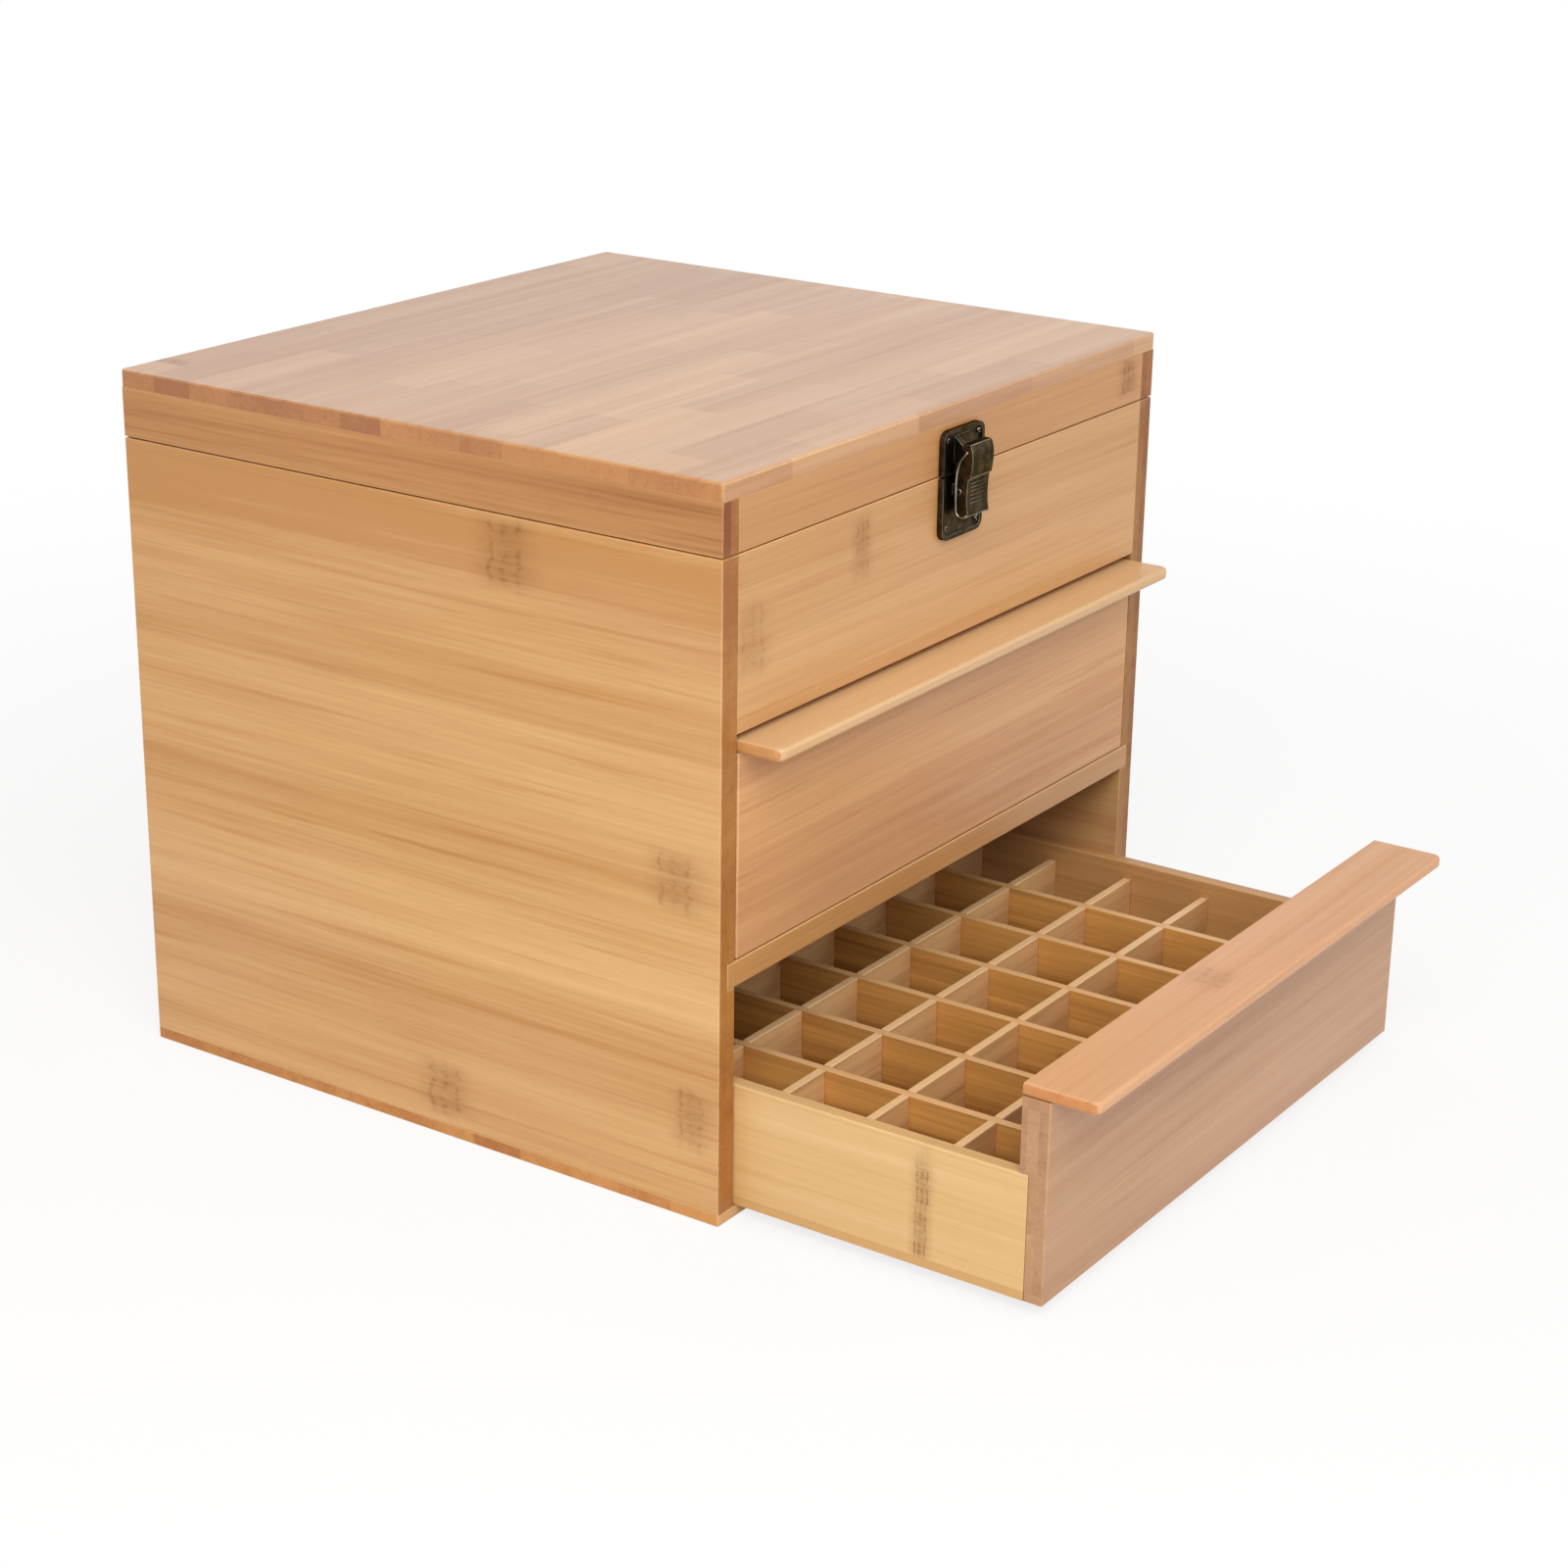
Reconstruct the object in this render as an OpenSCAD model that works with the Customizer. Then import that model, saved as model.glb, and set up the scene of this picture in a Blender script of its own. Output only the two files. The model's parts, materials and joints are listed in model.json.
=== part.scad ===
// Bamboo storage box for small oil bottles: a hinged lid over a divided tray, two divided drawers
// below it, and a bronze press latch on the front.
// Millimetres, +Z up, the front faces -Y, the origin is the middle of the underside.

/* [Case] */
// Width over the side panels
box_w = 260; // [220:1:320]
// Depth from the front edges to the back face
box_d = 241; // [205:1:300]
// Thickness of the side, back and upper front panels
panel_t = 8; // [6:0.5:12]
// Thickness of the bottom board
bottom_t = 4; // [3:0.5:10]
// Clear height of the upper drawer's bay
bay_h = 73; // [66:1:90]
// Extra height of the lower drawer's bay
lower_bay_extra = 2; // [0:0.5:10]
// Thickness of the shelf between the drawers
shelf_t = 8.5; // [5:0.5:12]
// Height of the upper front panel
front_panel_h = 55.5; // [50:0.5:80]
// Thickness of the tray floor
floor_t = 5; // [3:0.5:8]
// Depth of the grooves in the side panels that hold the shelf and the tray floor
groove_d = 4; // [2:0.5:5]

/* [Lid] */
// Height of the lid, from the seam to the top
lid_h = 23; // [20:1:40]
// Thickness of the lid's top board
lid_top_t = 6; // [4:0.5:8]
// Thickness of the lid's rails
rail_t = 8; // [6:0.5:12]
// Gap at the seam of the closed lid
seam_gap = 0.4; // [0.2:0.1:0.8]

/* [Drawers] */
// Gap between a drawer and each side panel
drawer_side_gap = 0.8; // [0.4:0.1:1.5]
// Running gap under a drawer
drawer_low_gap = 0.4; // [0.2:0.1:0.8]
// Gap above a drawer's lip
drawer_top_gap = 2; // [1:0.1:4]
// Gap behind a closed drawer
drawer_back_gap = 0.8; // [0.5:0.1:5]
// Thickness of a drawer front
front_t = 9.5; // [8:0.5:14]
// Thickness of a drawer's sides and back
drawer_side_t = 5; // [4:0.5:8]
// Height of a drawer's sides above its bottom board
drawer_side_h = 38.5; // [25:0.5:48]
// Thickness of a drawer's bottom board
drawer_bottom_t = 3; // [2:0.5:5]
// Depth of the rabbet in a drawer front that takes the sides and the bottom board
rabbet_d = 3; // [2:0.5:5]
// Thickness of the lip on a drawer front
lip_t = 4.2; // [3:0.2:6]
// Reach of the lip past the drawer front
lip_reach = 15.5; // [8:0.5:25]
// Radius of the lip's front corners
lip_corner_r = 3; // [1:0.5:7]
// Distance that the lower drawer is pulled out
lower_drawer_out = 111; // [0:1:150]

/* [Dividers] */
// Cells from side to side
columns = 7; // [3:1:9]
// Cells from front to back
rows = 7; // [3:1:9]
// Thickness of the strips
strip_t = 3; // [2:0.5:5]
// Height of the strips in the tray
tray_strip_h = 39; // [20:1:42]
// Distance of the strips in the drawers below the tops of the drawer sides
strip_drop = 6; // [0:0.5:12]
// Gap beside the strips where they cross and at their ends
strip_gap = 0.2; // [0.1:0.05:0.4]

/* [Latch] */
// Width of both plates
latch_w = 24.5; // [20:0.5:30]
// Height of the base plate, below the seam
base_plate_h = 21; // [20:0.5:28]
// Height of the keeper plate, above the seam
keeper_plate_h = 14.5; // [13:0.5:16]
// Thickness of both plates
plate_t = 1.2; // [0.8:0.1:1.4]
// Distance of each plate from the seam
plate_seam_gap = 0.2; // [0.1:0.1:0.5]
// Radius of the plates' outer corners
plate_corner_r = 3.5; // [2:0.5:5]
// Width of the raised border on the plates
border_w = 1.4; // [0.8:0.1:1.6]
// Height of the raised border on the plates
border_h = 0.9; // [0.4:0.1:1.5]
// Width of the lever
lever_w = 13; // [11:0.5:13.5]
// Thickness of the lever's sheet
lever_wall = 1; // [0.8:0.1:1.2]
// Distance of the lever's pin from the front of the case
lever_pin_out = 4.2; // [4:0.1:4.4]
// Distance of the lever's pin below the seam
lever_pin_down = 5; // [4.5:0.1:6]
// Radius of the lever's pin
lever_pin_r = 1; // [0.8:0.05:1.1]
// Width of the keeper's tongue
tongue_w = 9.6; // [6:0.1:9.8]
// Reach of the keeper's tongue from the front of the case
tongue_out = 5; // [4:0.1:5.2]
// Thickness of the leaf spring
spring_t = 0.4; // [0.3:0.05:0.5]
// Width of the leaf spring
spring_w = 4.4; // [3:0.2:5]

/* [Hinges] */
// Distance of a hinge's middle from the side of the box
hinge_inset = 55; // [25:1:80]
// Width of a hinge
hinge_w = 26; // [22:1:40]
// Height of each leaf from the pin
leaf_h = 13; // [11:0.5:13.5]
// Thickness of the leaves
leaf_t = 1.2; // [0.8:0.1:1.6]
// Outer radius of the knuckles
knuckle_r = 2.3; // [2:0.1:3]
// Radius of the hinge pins
hinge_pin_r = 1; // [0.8:0.05:1.2]

/* [Screws and fits] */
// Length of a screw's shank
screw_l = 6; // [4:0.5:6.5]
// Radius of a hinge screw's shank
screw_r = 0.9; // [0.6:0.05:1.1]
// Radius of a hinge screw's head
screw_head_r = 1.8; // [1.4:0.1:2.2]
// Radius of a latch screw's head
pin_head_r = 1.1; // [1:0.05:1.2]
// Radius of a latch screw's shank
pin_shank_r = 0.55; // [0.4:0.05:0.7]
// Height of a screw's head
screw_head_h = 0.8; // [0.5:0.1:1.2]
// Radial gap between a pin and its bore
pin_gap = 0.05; // [0.02:0.01:0.1]
// Radial gap between a screw and its hole
screw_gap = 0.15; // [0.1:0.05:0.3]
// Gap between pieces that move past each other
run_gap = 0.3; // [0.2:0.05:0.4]

/* [Hidden] */
$fn = 48;
nothing = 0.01;

half_w = box_w / 2;
inner_x = half_w - panel_t;
front_y = -box_d / 2;
back_y = box_d / 2;
inner_back_y = back_y - panel_t;

shelf_z = bottom_t + bay_h + lower_bay_extra;
upper_bay_z = shelf_z + shelf_t;
floor_z = upper_bay_z + bay_h;
floor_top_z = floor_z + floor_t;
seam_z = floor_z + front_panel_h;
lid_low_z = seam_z + seam_gap;
box_h = seam_z + lid_h;
rail_top_z = box_h - lid_top_t;

// A drawer is drawn closed, with the floor of its bay at height 0
drawer_x = inner_x - drawer_side_gap;
drawer_inner_x = drawer_x - drawer_side_t;
drawer_back_y = inner_back_y - drawer_back_gap;
front_back_y = front_y + front_t;
rabbet_y = front_back_y - rabbet_d;
drawer_side_z = drawer_low_gap + drawer_bottom_t;
drawer_side_top_z = drawer_side_z + drawer_side_h;
lip_z = bay_h - drawer_top_gap - lip_t;

// The space that a set of strips divides: its low corner, its high corner
drawer_space = [
  [-drawer_inner_x, front_back_y, drawer_side_z],
  [drawer_inner_x, drawer_back_y - drawer_side_t, drawer_side_top_z - strip_drop]
];
tray_space = [
  [-inner_x, front_y + panel_t, floor_top_z],
  [inner_x, inner_back_y, floor_top_z + tray_strip_h]
];

// The latch is drawn in side view as [distance from the front of the case, height above the seam]
lever_channel_w = lever_w - 2 * lever_wall;
lever_low = [7.9, -12.8];
lever_low_bend = [6.9, -7];
lever_step = [7.8, -0.6];
lever_brow = [8.5, -0.1];
lever_brow_bend = [10.1, 7.5];
lever_top = [8.1, 10.7];
lever_nose_h = 1.4;
lever_nose_out = tongue_out + run_gap;
lever_heel = [5.2, -14];
lever_heel_back = [3.4, -13.2];
lever_waist = [2.7, -11];
lever_shoulder = [2.7, 3.4];
lever_cheek_top = [6.7, 8.2];
lever_curve_steps = 8;
ear_t = 1.2;
ear_r = lever_pin_r + 0.9;
ear_x = lever_channel_w / 2 - run_gap - ear_t;
tongue_low = 3;
tongue_high = 8.5;
tongue_root = 12;
spring_foot_top = -2;
spring_bend = -8;
spring_tip = [5.4, -11.5];
latch_screw_x = latch_w / 2 - border_w - pin_head_r - 0.3;
base_screw_down = base_plate_h - border_w - pin_head_r - 1.5;
keeper_screw_up = keeper_plate_h - border_w - pin_head_r - 0.6;

hinge_x = half_w - hinge_inset;
hinge_z = seam_z + seam_gap / 2;
hinge_out = knuckle_r + run_gap;
knuckle_l = hinge_w / 3;
leaf_screw_x = hinge_w / 2 - 5;
leaf_screw_z = leaf_h - 4.5;

bamboo = "#d9a566";
bamboo_light = "#e3b878";
bamboo_warm = "#cf9a5e";
bronze = "#4a3f30";
steel = "#9a9a96";

ROW_STRIPS = [for (i = [1 : rows - 1]) str("lower_drawer_row_strip_", i)];
COLUMN_STRIPS = [for (i = [1 : columns - 1]) str("lower_drawer_column_strip_", i)];

// Middle of strip i of those that cut the stretch from low to high into equal cells
function strip_middle(low, high, count, i) = low - strip_t / 2 + i * (high - low + strip_t) / count;

// Point at t on the curve from a to c that is drawn towards b
function curve_point(a, b, c, t) = a * (1 - t) * (1 - t) + b * 2 * t * (1 - t) + c * t * t;
function curve(a, b, c) = [
  for (i = [0 : lever_curve_steps]) curve_point(a, b, c, i / lever_curve_steps)
];

// Shared shapes

module board(low, high) {
  translate(low) cube(high - low);
}

module mirrored(right) {
  mirror([right ? 1 : 0, 0, 0]) children();
}

// Rectangle from low to high with its two upper corners rounded
module arched(low, high, r) {
  translate(low) square([high[0] - low[0], high[1] - low[1] - r]);
  translate([low[0] + r, low[1]]) square([high[0] - low[0] - 2 * r, high[1] - low[1]]);
  for (x = [low[0] + r, high[0] - r]) translate([x, high[1] - r]) circle(r);
}

// Outline in side view of the latch, made solid across width w
module across(w) {
  translate([0, front_y, seam_z]) rotate([90, 0, -90]) linear_extrude(w, center = true) children();
}

// Outline in front view, with height counted from the seam, made solid outwards from the case
module outwards(start, thickness) {
  translate([0, front_y - start, seam_z]) rotate([90, 0, 0]) linear_extrude(thickness) children();
}

// Screw along Z with its head seated at height 0
module screw(head_r, shank_r) {
  translate([0, 0, -screw_l]) cylinder(h = screw_l, r = shank_r);
  cylinder(h = screw_head_h / 2, r = head_r);
  translate([0, 0, screw_head_h / 2]) cylinder(h = screw_head_h / 2, r1 = head_r, r2 = head_r * 0.7);
}

// Row strip i of a divided space, slotted from above for the column strips
module row_strip(space, i) {
  low = space[0];
  high = space[1];
  middle = strip_middle(low[1], high[1], rows, i);
  lap_z = (low[2] + high[2]) / 2;
  slot = strip_t / 2 + strip_gap;
  difference() {
    board(
      [low[0] + strip_gap, middle - strip_t / 2, low[2]],
      [high[0] - strip_gap, middle + strip_t / 2, high[2]]
    );
    for (k = [1 : columns - 1]) {
      x = strip_middle(low[0], high[0], columns, k);
      board([x - slot, middle - strip_t, lap_z], [x + slot, middle + strip_t, high[2] + strip_t]);
    }
  }
}

// Column strip i of a divided space, slotted from below for the row strips
module column_strip(space, i) {
  low = space[0];
  high = space[1];
  middle = strip_middle(low[0], high[0], columns, i);
  lap_z = (low[2] + high[2]) / 2;
  slot = strip_t / 2 + strip_gap;
  difference() {
    board(
      [middle - strip_t / 2, low[1] + strip_gap, low[2]],
      [middle + strip_t / 2, high[1] - strip_gap, high[2]]
    );
    for (k = [1 : rows - 1]) {
      y = strip_middle(low[1], high[1], rows, k);
      board([middle - strip_t, y - slot, low[2] - strip_t], [middle + strip_t, y + slot, lap_z]);
    }
  }
}

// Case

module bottom_board() {
  color(bamboo) board([-half_w, front_y, 0], [half_w, back_y, bottom_t]);
}

module side_panel(right) {
  color(bamboo) mirrored(right) difference() {
    board([-half_w, front_y, bottom_t], [-inner_x, back_y, seam_z]);
    board(
      [-inner_x - groove_d, front_y - nothing, shelf_z],
      [-inner_x + nothing, inner_back_y, upper_bay_z]
    );
    board(
      [-inner_x - groove_d, front_y + panel_t, floor_z],
      [-inner_x + nothing, inner_back_y, floor_top_z]
    );
  }
}

module back_panel() {
  color(bamboo) board([-inner_x, inner_back_y, bottom_t], [inner_x, back_y, seam_z]);
}

module drawer_shelf() {
  color(bamboo_warm) board(
    [-inner_x - groove_d, front_y, shelf_z],
    [inner_x + groove_d, inner_back_y, upper_bay_z]
  );
}

module tray_floor() {
  color(bamboo_light) board(
    [-inner_x - groove_d, front_y + panel_t, floor_z],
    [inner_x + groove_d, inner_back_y, floor_top_z]
  );
}

module upper_front_panel() {
  color(bamboo) board([-inner_x, front_y, floor_z], [inner_x, front_y + panel_t, seam_z]);
}

module tray_row_strips() {
  color(bamboo_light) for (i = [1 : rows - 1]) row_strip(tray_space, i);
}

module tray_column_strips() {
  color(bamboo_light) for (i = [1 : columns - 1]) column_strip(tray_space, i);
}

// Lid

module lid_top_board() {
  color(bamboo) board([-half_w, front_y, rail_top_z], [half_w, back_y, box_h]);
}

module lid_side_rail(right) {
  color(bamboo) mirrored(right) board(
    [-half_w, front_y, lid_low_z],
    [-half_w + rail_t, back_y, rail_top_z]
  );
}

module lid_front_rail() {
  color(bamboo) board(
    [-half_w + rail_t, front_y, lid_low_z],
    [half_w - rail_t, front_y + rail_t, rail_top_z]
  );
}

module lid_back_rail() {
  color(bamboo) board(
    [-half_w + rail_t, back_y - rail_t, lid_low_z],
    [half_w - rail_t, back_y, rail_top_z]
  );
}

// Drawers

module in_lower_bay() {
  translate([0, -lower_drawer_out, bottom_t]) children();
}

module in_upper_bay() {
  translate([0, 0, upper_bay_z]) children();
}

module drawer_front() {
  color(bamboo_warm) difference() {
    board([-drawer_x, front_y, drawer_low_gap], [drawer_x, front_back_y, lip_z]);
    board(
      [-drawer_x - nothing, rabbet_y, drawer_low_gap - nothing],
      [drawer_x + nothing, front_back_y + nothing, drawer_side_z]
    );
    for (right = [false, true]) mirrored(right) board(
      [-drawer_x - nothing, rabbet_y, drawer_side_z - nothing],
      [-drawer_inner_x, front_back_y + nothing, drawer_side_top_z]
    );
  }
}

module drawer_lip() {
  color(bamboo_light) translate([0, 0, lip_z]) linear_extrude(lip_t) mirror([0, 1])
    arched([-drawer_x, -front_back_y], [drawer_x, -front_y + lip_reach], lip_corner_r);
}

module drawer_side(right) {
  color(bamboo_light) mirrored(right) board(
    [-drawer_x, rabbet_y, drawer_side_z],
    [-drawer_inner_x, drawer_back_y, drawer_side_top_z]
  );
}

module drawer_back() {
  color(bamboo_light) board(
    [-drawer_inner_x, drawer_back_y - drawer_side_t, drawer_side_z],
    [drawer_inner_x, drawer_back_y, drawer_side_top_z]
  );
}

module drawer_bottom() {
  color(bamboo_light) board(
    [-drawer_x, rabbet_y, drawer_low_gap],
    [drawer_x, drawer_back_y, drawer_side_z]
  );
}

module drawer_row_strip(i) {
  color(bamboo_light) row_strip(drawer_space, i);
}

module drawer_column_strip(i) {
  color(bamboo_light) column_strip(drawer_space, i);
}

// Latch

// Plate on one side of the seam, reaching height h from it, with a raised border
module latch_plate(h) {
  half = latch_w / 2;
  outwards(0, plate_t) arched([-half, plate_seam_gap], [half, h], plate_corner_r);
  outwards(plate_t, border_h) difference() {
    arched([-half, plate_seam_gap], [half, h], plate_corner_r);
    arched(
      [-half + border_w, 0],
      [half - border_w, h - border_w],
      plate_corner_r - border_w
    );
  }
}

module latch_screw_holes(up) {
  for (x = [-latch_screw_x, latch_screw_x]) outwards(-nothing, plate_t + 2 * nothing)
    translate([x, up]) circle(pin_shank_r + screw_gap);
}

module latch_screws(up) {
  for (x = [-latch_screw_x, latch_screw_x]) translate([x, front_y - plate_t, seam_z + up])
    rotate([90, 0, 0]) screw(pin_head_r, pin_shank_r);
}

// Everything within r of the lever's pin, across width w
module round_lever_pin(r, w) {
  across(w) translate([lever_pin_out, -lever_pin_down]) circle(r);
}

module latch_base_plate() {
  color(bronze) difference() {
    union() {
      translate([0, 0, 2 * seam_z]) mirror([0, 0, 1]) latch_plate(base_plate_h);
      for (side = [-1, 1]) translate([side * (ear_x + ear_t / 2), 0, 0]) {
        round_lever_pin(ear_r, ear_t);
        across(ear_t) translate([plate_t - nothing, -lever_pin_down - ear_r])
          square([lever_pin_out - plate_t + nothing, 2 * ear_r]);
      }
    }
    round_lever_pin(lever_pin_r + pin_gap, lever_w);
    latch_screw_holes(-base_screw_down);
  }
}

module latch_base_screws() {
  color(bronze) latch_screws(-base_screw_down);
}

module latch_pin() {
  color(bronze) round_lever_pin(lever_pin_r, lever_w);
}

// Leaf spring: its foot lies on the base plate under the pin, its tip stands behind the lever
module latch_spring() {
  color(steel) across(spring_w) polygon([
    [plate_t, spring_foot_top],
    [plate_t + spring_t, spring_foot_top],
    [plate_t + spring_t, spring_bend],
    spring_tip + [spring_t, 0],
    spring_tip,
    [plate_t, spring_bend]
  ]);
}

// Front line of the lever from its low end to its top, set back by inset
function lever_front(inset) = [
  for (p = concat(
    curve(lever_low, lever_low_bend, lever_step),
    curve(lever_brow, lever_brow_bend, lever_top)
  )) p - [inset, 0]
];

// Sheet lever, open towards the case, with a nose at its top that closes over the keeper's tongue
module latch_lever() {
  color(bronze) difference() {
    across(lever_w) polygon(concat(
      lever_front(0),
      [
        [lever_nose_out, lever_top[1]],
        [lever_nose_out, lever_top[1] - lever_nose_h],
        lever_cheek_top,
        lever_shoulder,
        lever_waist,
        lever_heel_back,
        lever_heel
      ]
    ));
    difference() {
      across(lever_channel_w) polygon(concat(
        lever_front(lever_wall),
        [[0, lever_top[1]], [0, lever_low[1]]]
      ));
      across(lever_w) translate([lever_nose_out, lever_top[1] - lever_nose_h])
        square([lever_top[0], 2 * lever_nose_h]);
    }
    round_lever_pin(lever_pin_r + pin_gap, 2 * lever_w);
  }
}

module latch_keeper_plate() {
  color(bronze) translate([0, 0, seam_gap]) {
    difference() {
      latch_plate(keeper_plate_h);
      latch_screw_holes(keeper_screw_up);
    }
    across(tongue_w) polygon([
      [plate_t - nothing, tongue_low],
      [tongue_out - 0.6, tongue_low],
      [tongue_out, tongue_low + 1.5],
      [tongue_out, tongue_high],
      [plate_t - nothing, tongue_root]
    ]);
  }
}

module latch_keeper_screws() {
  color(bronze) translate([0, 0, seam_gap]) latch_screws(keeper_screw_up);
}

// Hinges

module at_hinge(right) {
  translate([(right ? 1 : -1) * hinge_x, back_y, hinge_z]) children();
}

// Solid round the pin's line, from x = a to x = b
module knuckle(a, b, r) {
  translate([a, hinge_out, 0]) rotate([0, 90, 0]) cylinder(h = b - a, r = r);
}

// Stretches of the pin's line that a leaf's knuckles take
function knuckle_spans(lid) = lid
  ? [[-knuckle_l / 2 + run_gap / 2, knuckle_l / 2 - run_gap / 2]]
  : [
      [run_gap - hinge_w / 2, -knuckle_l / 2 - run_gap / 2],
      [knuckle_l / 2 + run_gap / 2, hinge_w / 2 - run_gap]
    ];

// Flat of a leaf, cut away round the other leaf's knuckles
module leaf_plate(lid) {
  difference() {
    board([-hinge_w / 2, 0, 0], [hinge_w / 2, leaf_t, leaf_h]);
    for (span = knuckle_spans(!lid)) board(
      [span[0] - 2 * run_gap, -nothing, -nothing],
      [span[1] + 2 * run_gap, leaf_t + nothing, knuckle_r + run_gap]
    );
    for (x = [-leaf_screw_x, leaf_screw_x]) translate([x, -leaf_t, leaf_screw_z])
      rotate([-90, 0, 0]) cylinder(h = 3 * leaf_t, r = screw_r + screw_gap);
  }
}

// Leaf with its knuckles, drawn upwards from the pin's line
module leaf(lid) {
  color(bronze) difference() {
    union() {
      leaf_plate(lid);
      for (span = knuckle_spans(lid)) knuckle(span[0], span[1], knuckle_r);
    }
    knuckle(-hinge_w, hinge_w, hinge_pin_r + pin_gap);
  }
}

module hinge_body_leaf(right) {
  at_hinge(right) mirror([0, 0, 1]) leaf(false);
}

module hinge_lid_leaf(right) {
  at_hinge(right) leaf(true);
}

module hinge_pin(right) {
  color(steel) at_hinge(right) knuckle(-hinge_w / 2, hinge_w / 2, hinge_pin_r);
}

module hinge_screws(up) {
  color(bronze) for (right = [false, true], x = [-leaf_screw_x, leaf_screw_x])
    at_hinge(right) translate([x, leaf_t, up]) rotate([-90, 0, 0]) screw(screw_head_r, screw_r);
}

bottom_board();
side_panel(false);  // left_side_panel
side_panel(true);  // right_side_panel
back_panel();
drawer_shelf();
tray_floor();
upper_front_panel();
tray_row_strips();
tray_column_strips();

lid_top_board();
lid_side_rail(false);  // lid_left_rail
lid_side_rail(true);  // lid_right_rail
lid_front_rail();
lid_back_rail();

in_upper_bay() drawer_front();  // upper_drawer_front
in_upper_bay() drawer_lip();  // upper_drawer_lip
in_upper_bay() drawer_side(false);  // upper_drawer_left_side
in_upper_bay() drawer_side(true);  // upper_drawer_right_side
in_upper_bay() drawer_back();  // upper_drawer_back
in_upper_bay() drawer_bottom();  // upper_drawer_bottom
in_upper_bay() for (i = [1 : rows - 1]) drawer_row_strip(i);  // upper_drawer_row_strips
in_upper_bay() for (i = [1 : columns - 1]) drawer_column_strip(i);  // upper_drawer_column_strips

in_lower_bay() drawer_front();  // lower_drawer_front
in_lower_bay() drawer_lip();  // lower_drawer_lip
in_lower_bay() drawer_side(false);  // lower_drawer_left_side
in_lower_bay() drawer_side(true);  // lower_drawer_right_side
in_lower_bay() drawer_back();  // lower_drawer_back
in_lower_bay() drawer_bottom();  // lower_drawer_bottom
for (i = [1 : rows - 1])
  in_lower_bay() drawer_row_strip(i);
for (i = [1 : columns - 1])
  in_lower_bay() drawer_column_strip(i);

latch_base_plate();
latch_base_screws();
latch_pin();
latch_spring();
latch_lever();
latch_keeper_plate();
latch_keeper_screws();

hinge_body_leaf(false);  // left_hinge_body_leaf
hinge_lid_leaf(false);  // left_hinge_lid_leaf
hinge_pin(false);  // left_hinge_pin
hinge_body_leaf(true);  // right_hinge_body_leaf
hinge_lid_leaf(true);  // right_hinge_lid_leaf
hinge_pin(true);  // right_hinge_pin
hinge_screws(-leaf_screw_z);  // hinge_body_screws
hinge_screws(leaf_screw_z);  // hinge_lid_screws
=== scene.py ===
"""Dresses a bamboo storage box for small bottles: case, lid, drawers, strips, latch and hinges.

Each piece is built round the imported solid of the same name, in metres, and rides on its body. Only
the ribs and the rims of the latch's lever are laid on top. Bamboo is painted in the piece's own
space, so a board keeps its grain when it moves.
"""
import json
import logging
import math
from collections.abc import Iterable
from dataclasses import dataclass
from enum import Enum
from typing import ClassVar

import bmesh
import bpy
from bmesh.types import BMEdge, BMesh, BMFace
from bpy.types import Material, Node, NodeOutputs, NodeTree, Object
from mathutils import Matrix, Vector
from mathutils.bvhtree import BVHTree


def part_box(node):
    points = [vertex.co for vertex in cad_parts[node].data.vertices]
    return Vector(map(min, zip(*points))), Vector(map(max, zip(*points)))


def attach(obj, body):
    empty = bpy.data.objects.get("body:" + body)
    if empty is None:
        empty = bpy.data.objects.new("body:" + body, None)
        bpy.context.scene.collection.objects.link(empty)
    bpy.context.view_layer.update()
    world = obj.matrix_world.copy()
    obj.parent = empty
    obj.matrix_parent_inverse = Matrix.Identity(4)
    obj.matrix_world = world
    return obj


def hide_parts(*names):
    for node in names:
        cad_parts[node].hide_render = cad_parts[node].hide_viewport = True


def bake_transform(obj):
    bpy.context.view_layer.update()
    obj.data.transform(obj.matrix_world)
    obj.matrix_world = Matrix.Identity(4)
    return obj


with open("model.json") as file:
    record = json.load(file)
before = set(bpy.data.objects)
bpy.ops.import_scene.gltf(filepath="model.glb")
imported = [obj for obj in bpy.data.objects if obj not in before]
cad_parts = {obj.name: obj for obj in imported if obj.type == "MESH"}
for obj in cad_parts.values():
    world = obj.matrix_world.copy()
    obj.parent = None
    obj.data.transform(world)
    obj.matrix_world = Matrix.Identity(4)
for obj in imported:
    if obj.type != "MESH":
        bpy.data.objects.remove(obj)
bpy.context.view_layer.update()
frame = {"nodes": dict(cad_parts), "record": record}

MM = 0.001
MICRON = 1e-6
NEAR = 10 * MICRON  # Points closer than this count as one level
SAME_WAY = 0.9999  # Normals with a larger dot product count as parallel
WHITE = (1.0, 1.0, 1.0, 1.0)
EDGE_LAYER = "eased"
BODY_OF = {node: body for body, nodes in frame["record"]["behaviour"]["bodies"].items() for node in nodes}
LOG = logging.getLogger("storage_box")

Socket = bpy.types.NodeSocket
Colour = tuple[float, float, float, float]
Point = tuple[float, float, float]
Tones = tuple[str, str]  # The pale and the deep colour of a board


class Axis(Enum):
    """A direction of the frame."""

    X = 0
    Y = 1
    Z = 2


class Slot(Enum):
    """The record's material slots."""

    CASE = "bamboo_case"
    TOP = "bamboo_top"
    FRONT = "bamboo_front"
    DRAWER = "bamboo_drawer"
    STRIP = "bamboo_strip"
    BRONZE = "antique_bronze"
    STEEL = "spring_steel"


class Side(Enum):
    """An outward direction of a board."""

    LEFT = (-1, 0, 0)
    RIGHT = (1, 0, 0)
    FRONT = (0, -1, 0)
    BACK = (0, 1, 0)
    BELOW = (0, 0, -1)
    ABOVE = (0, 0, 1)


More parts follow.
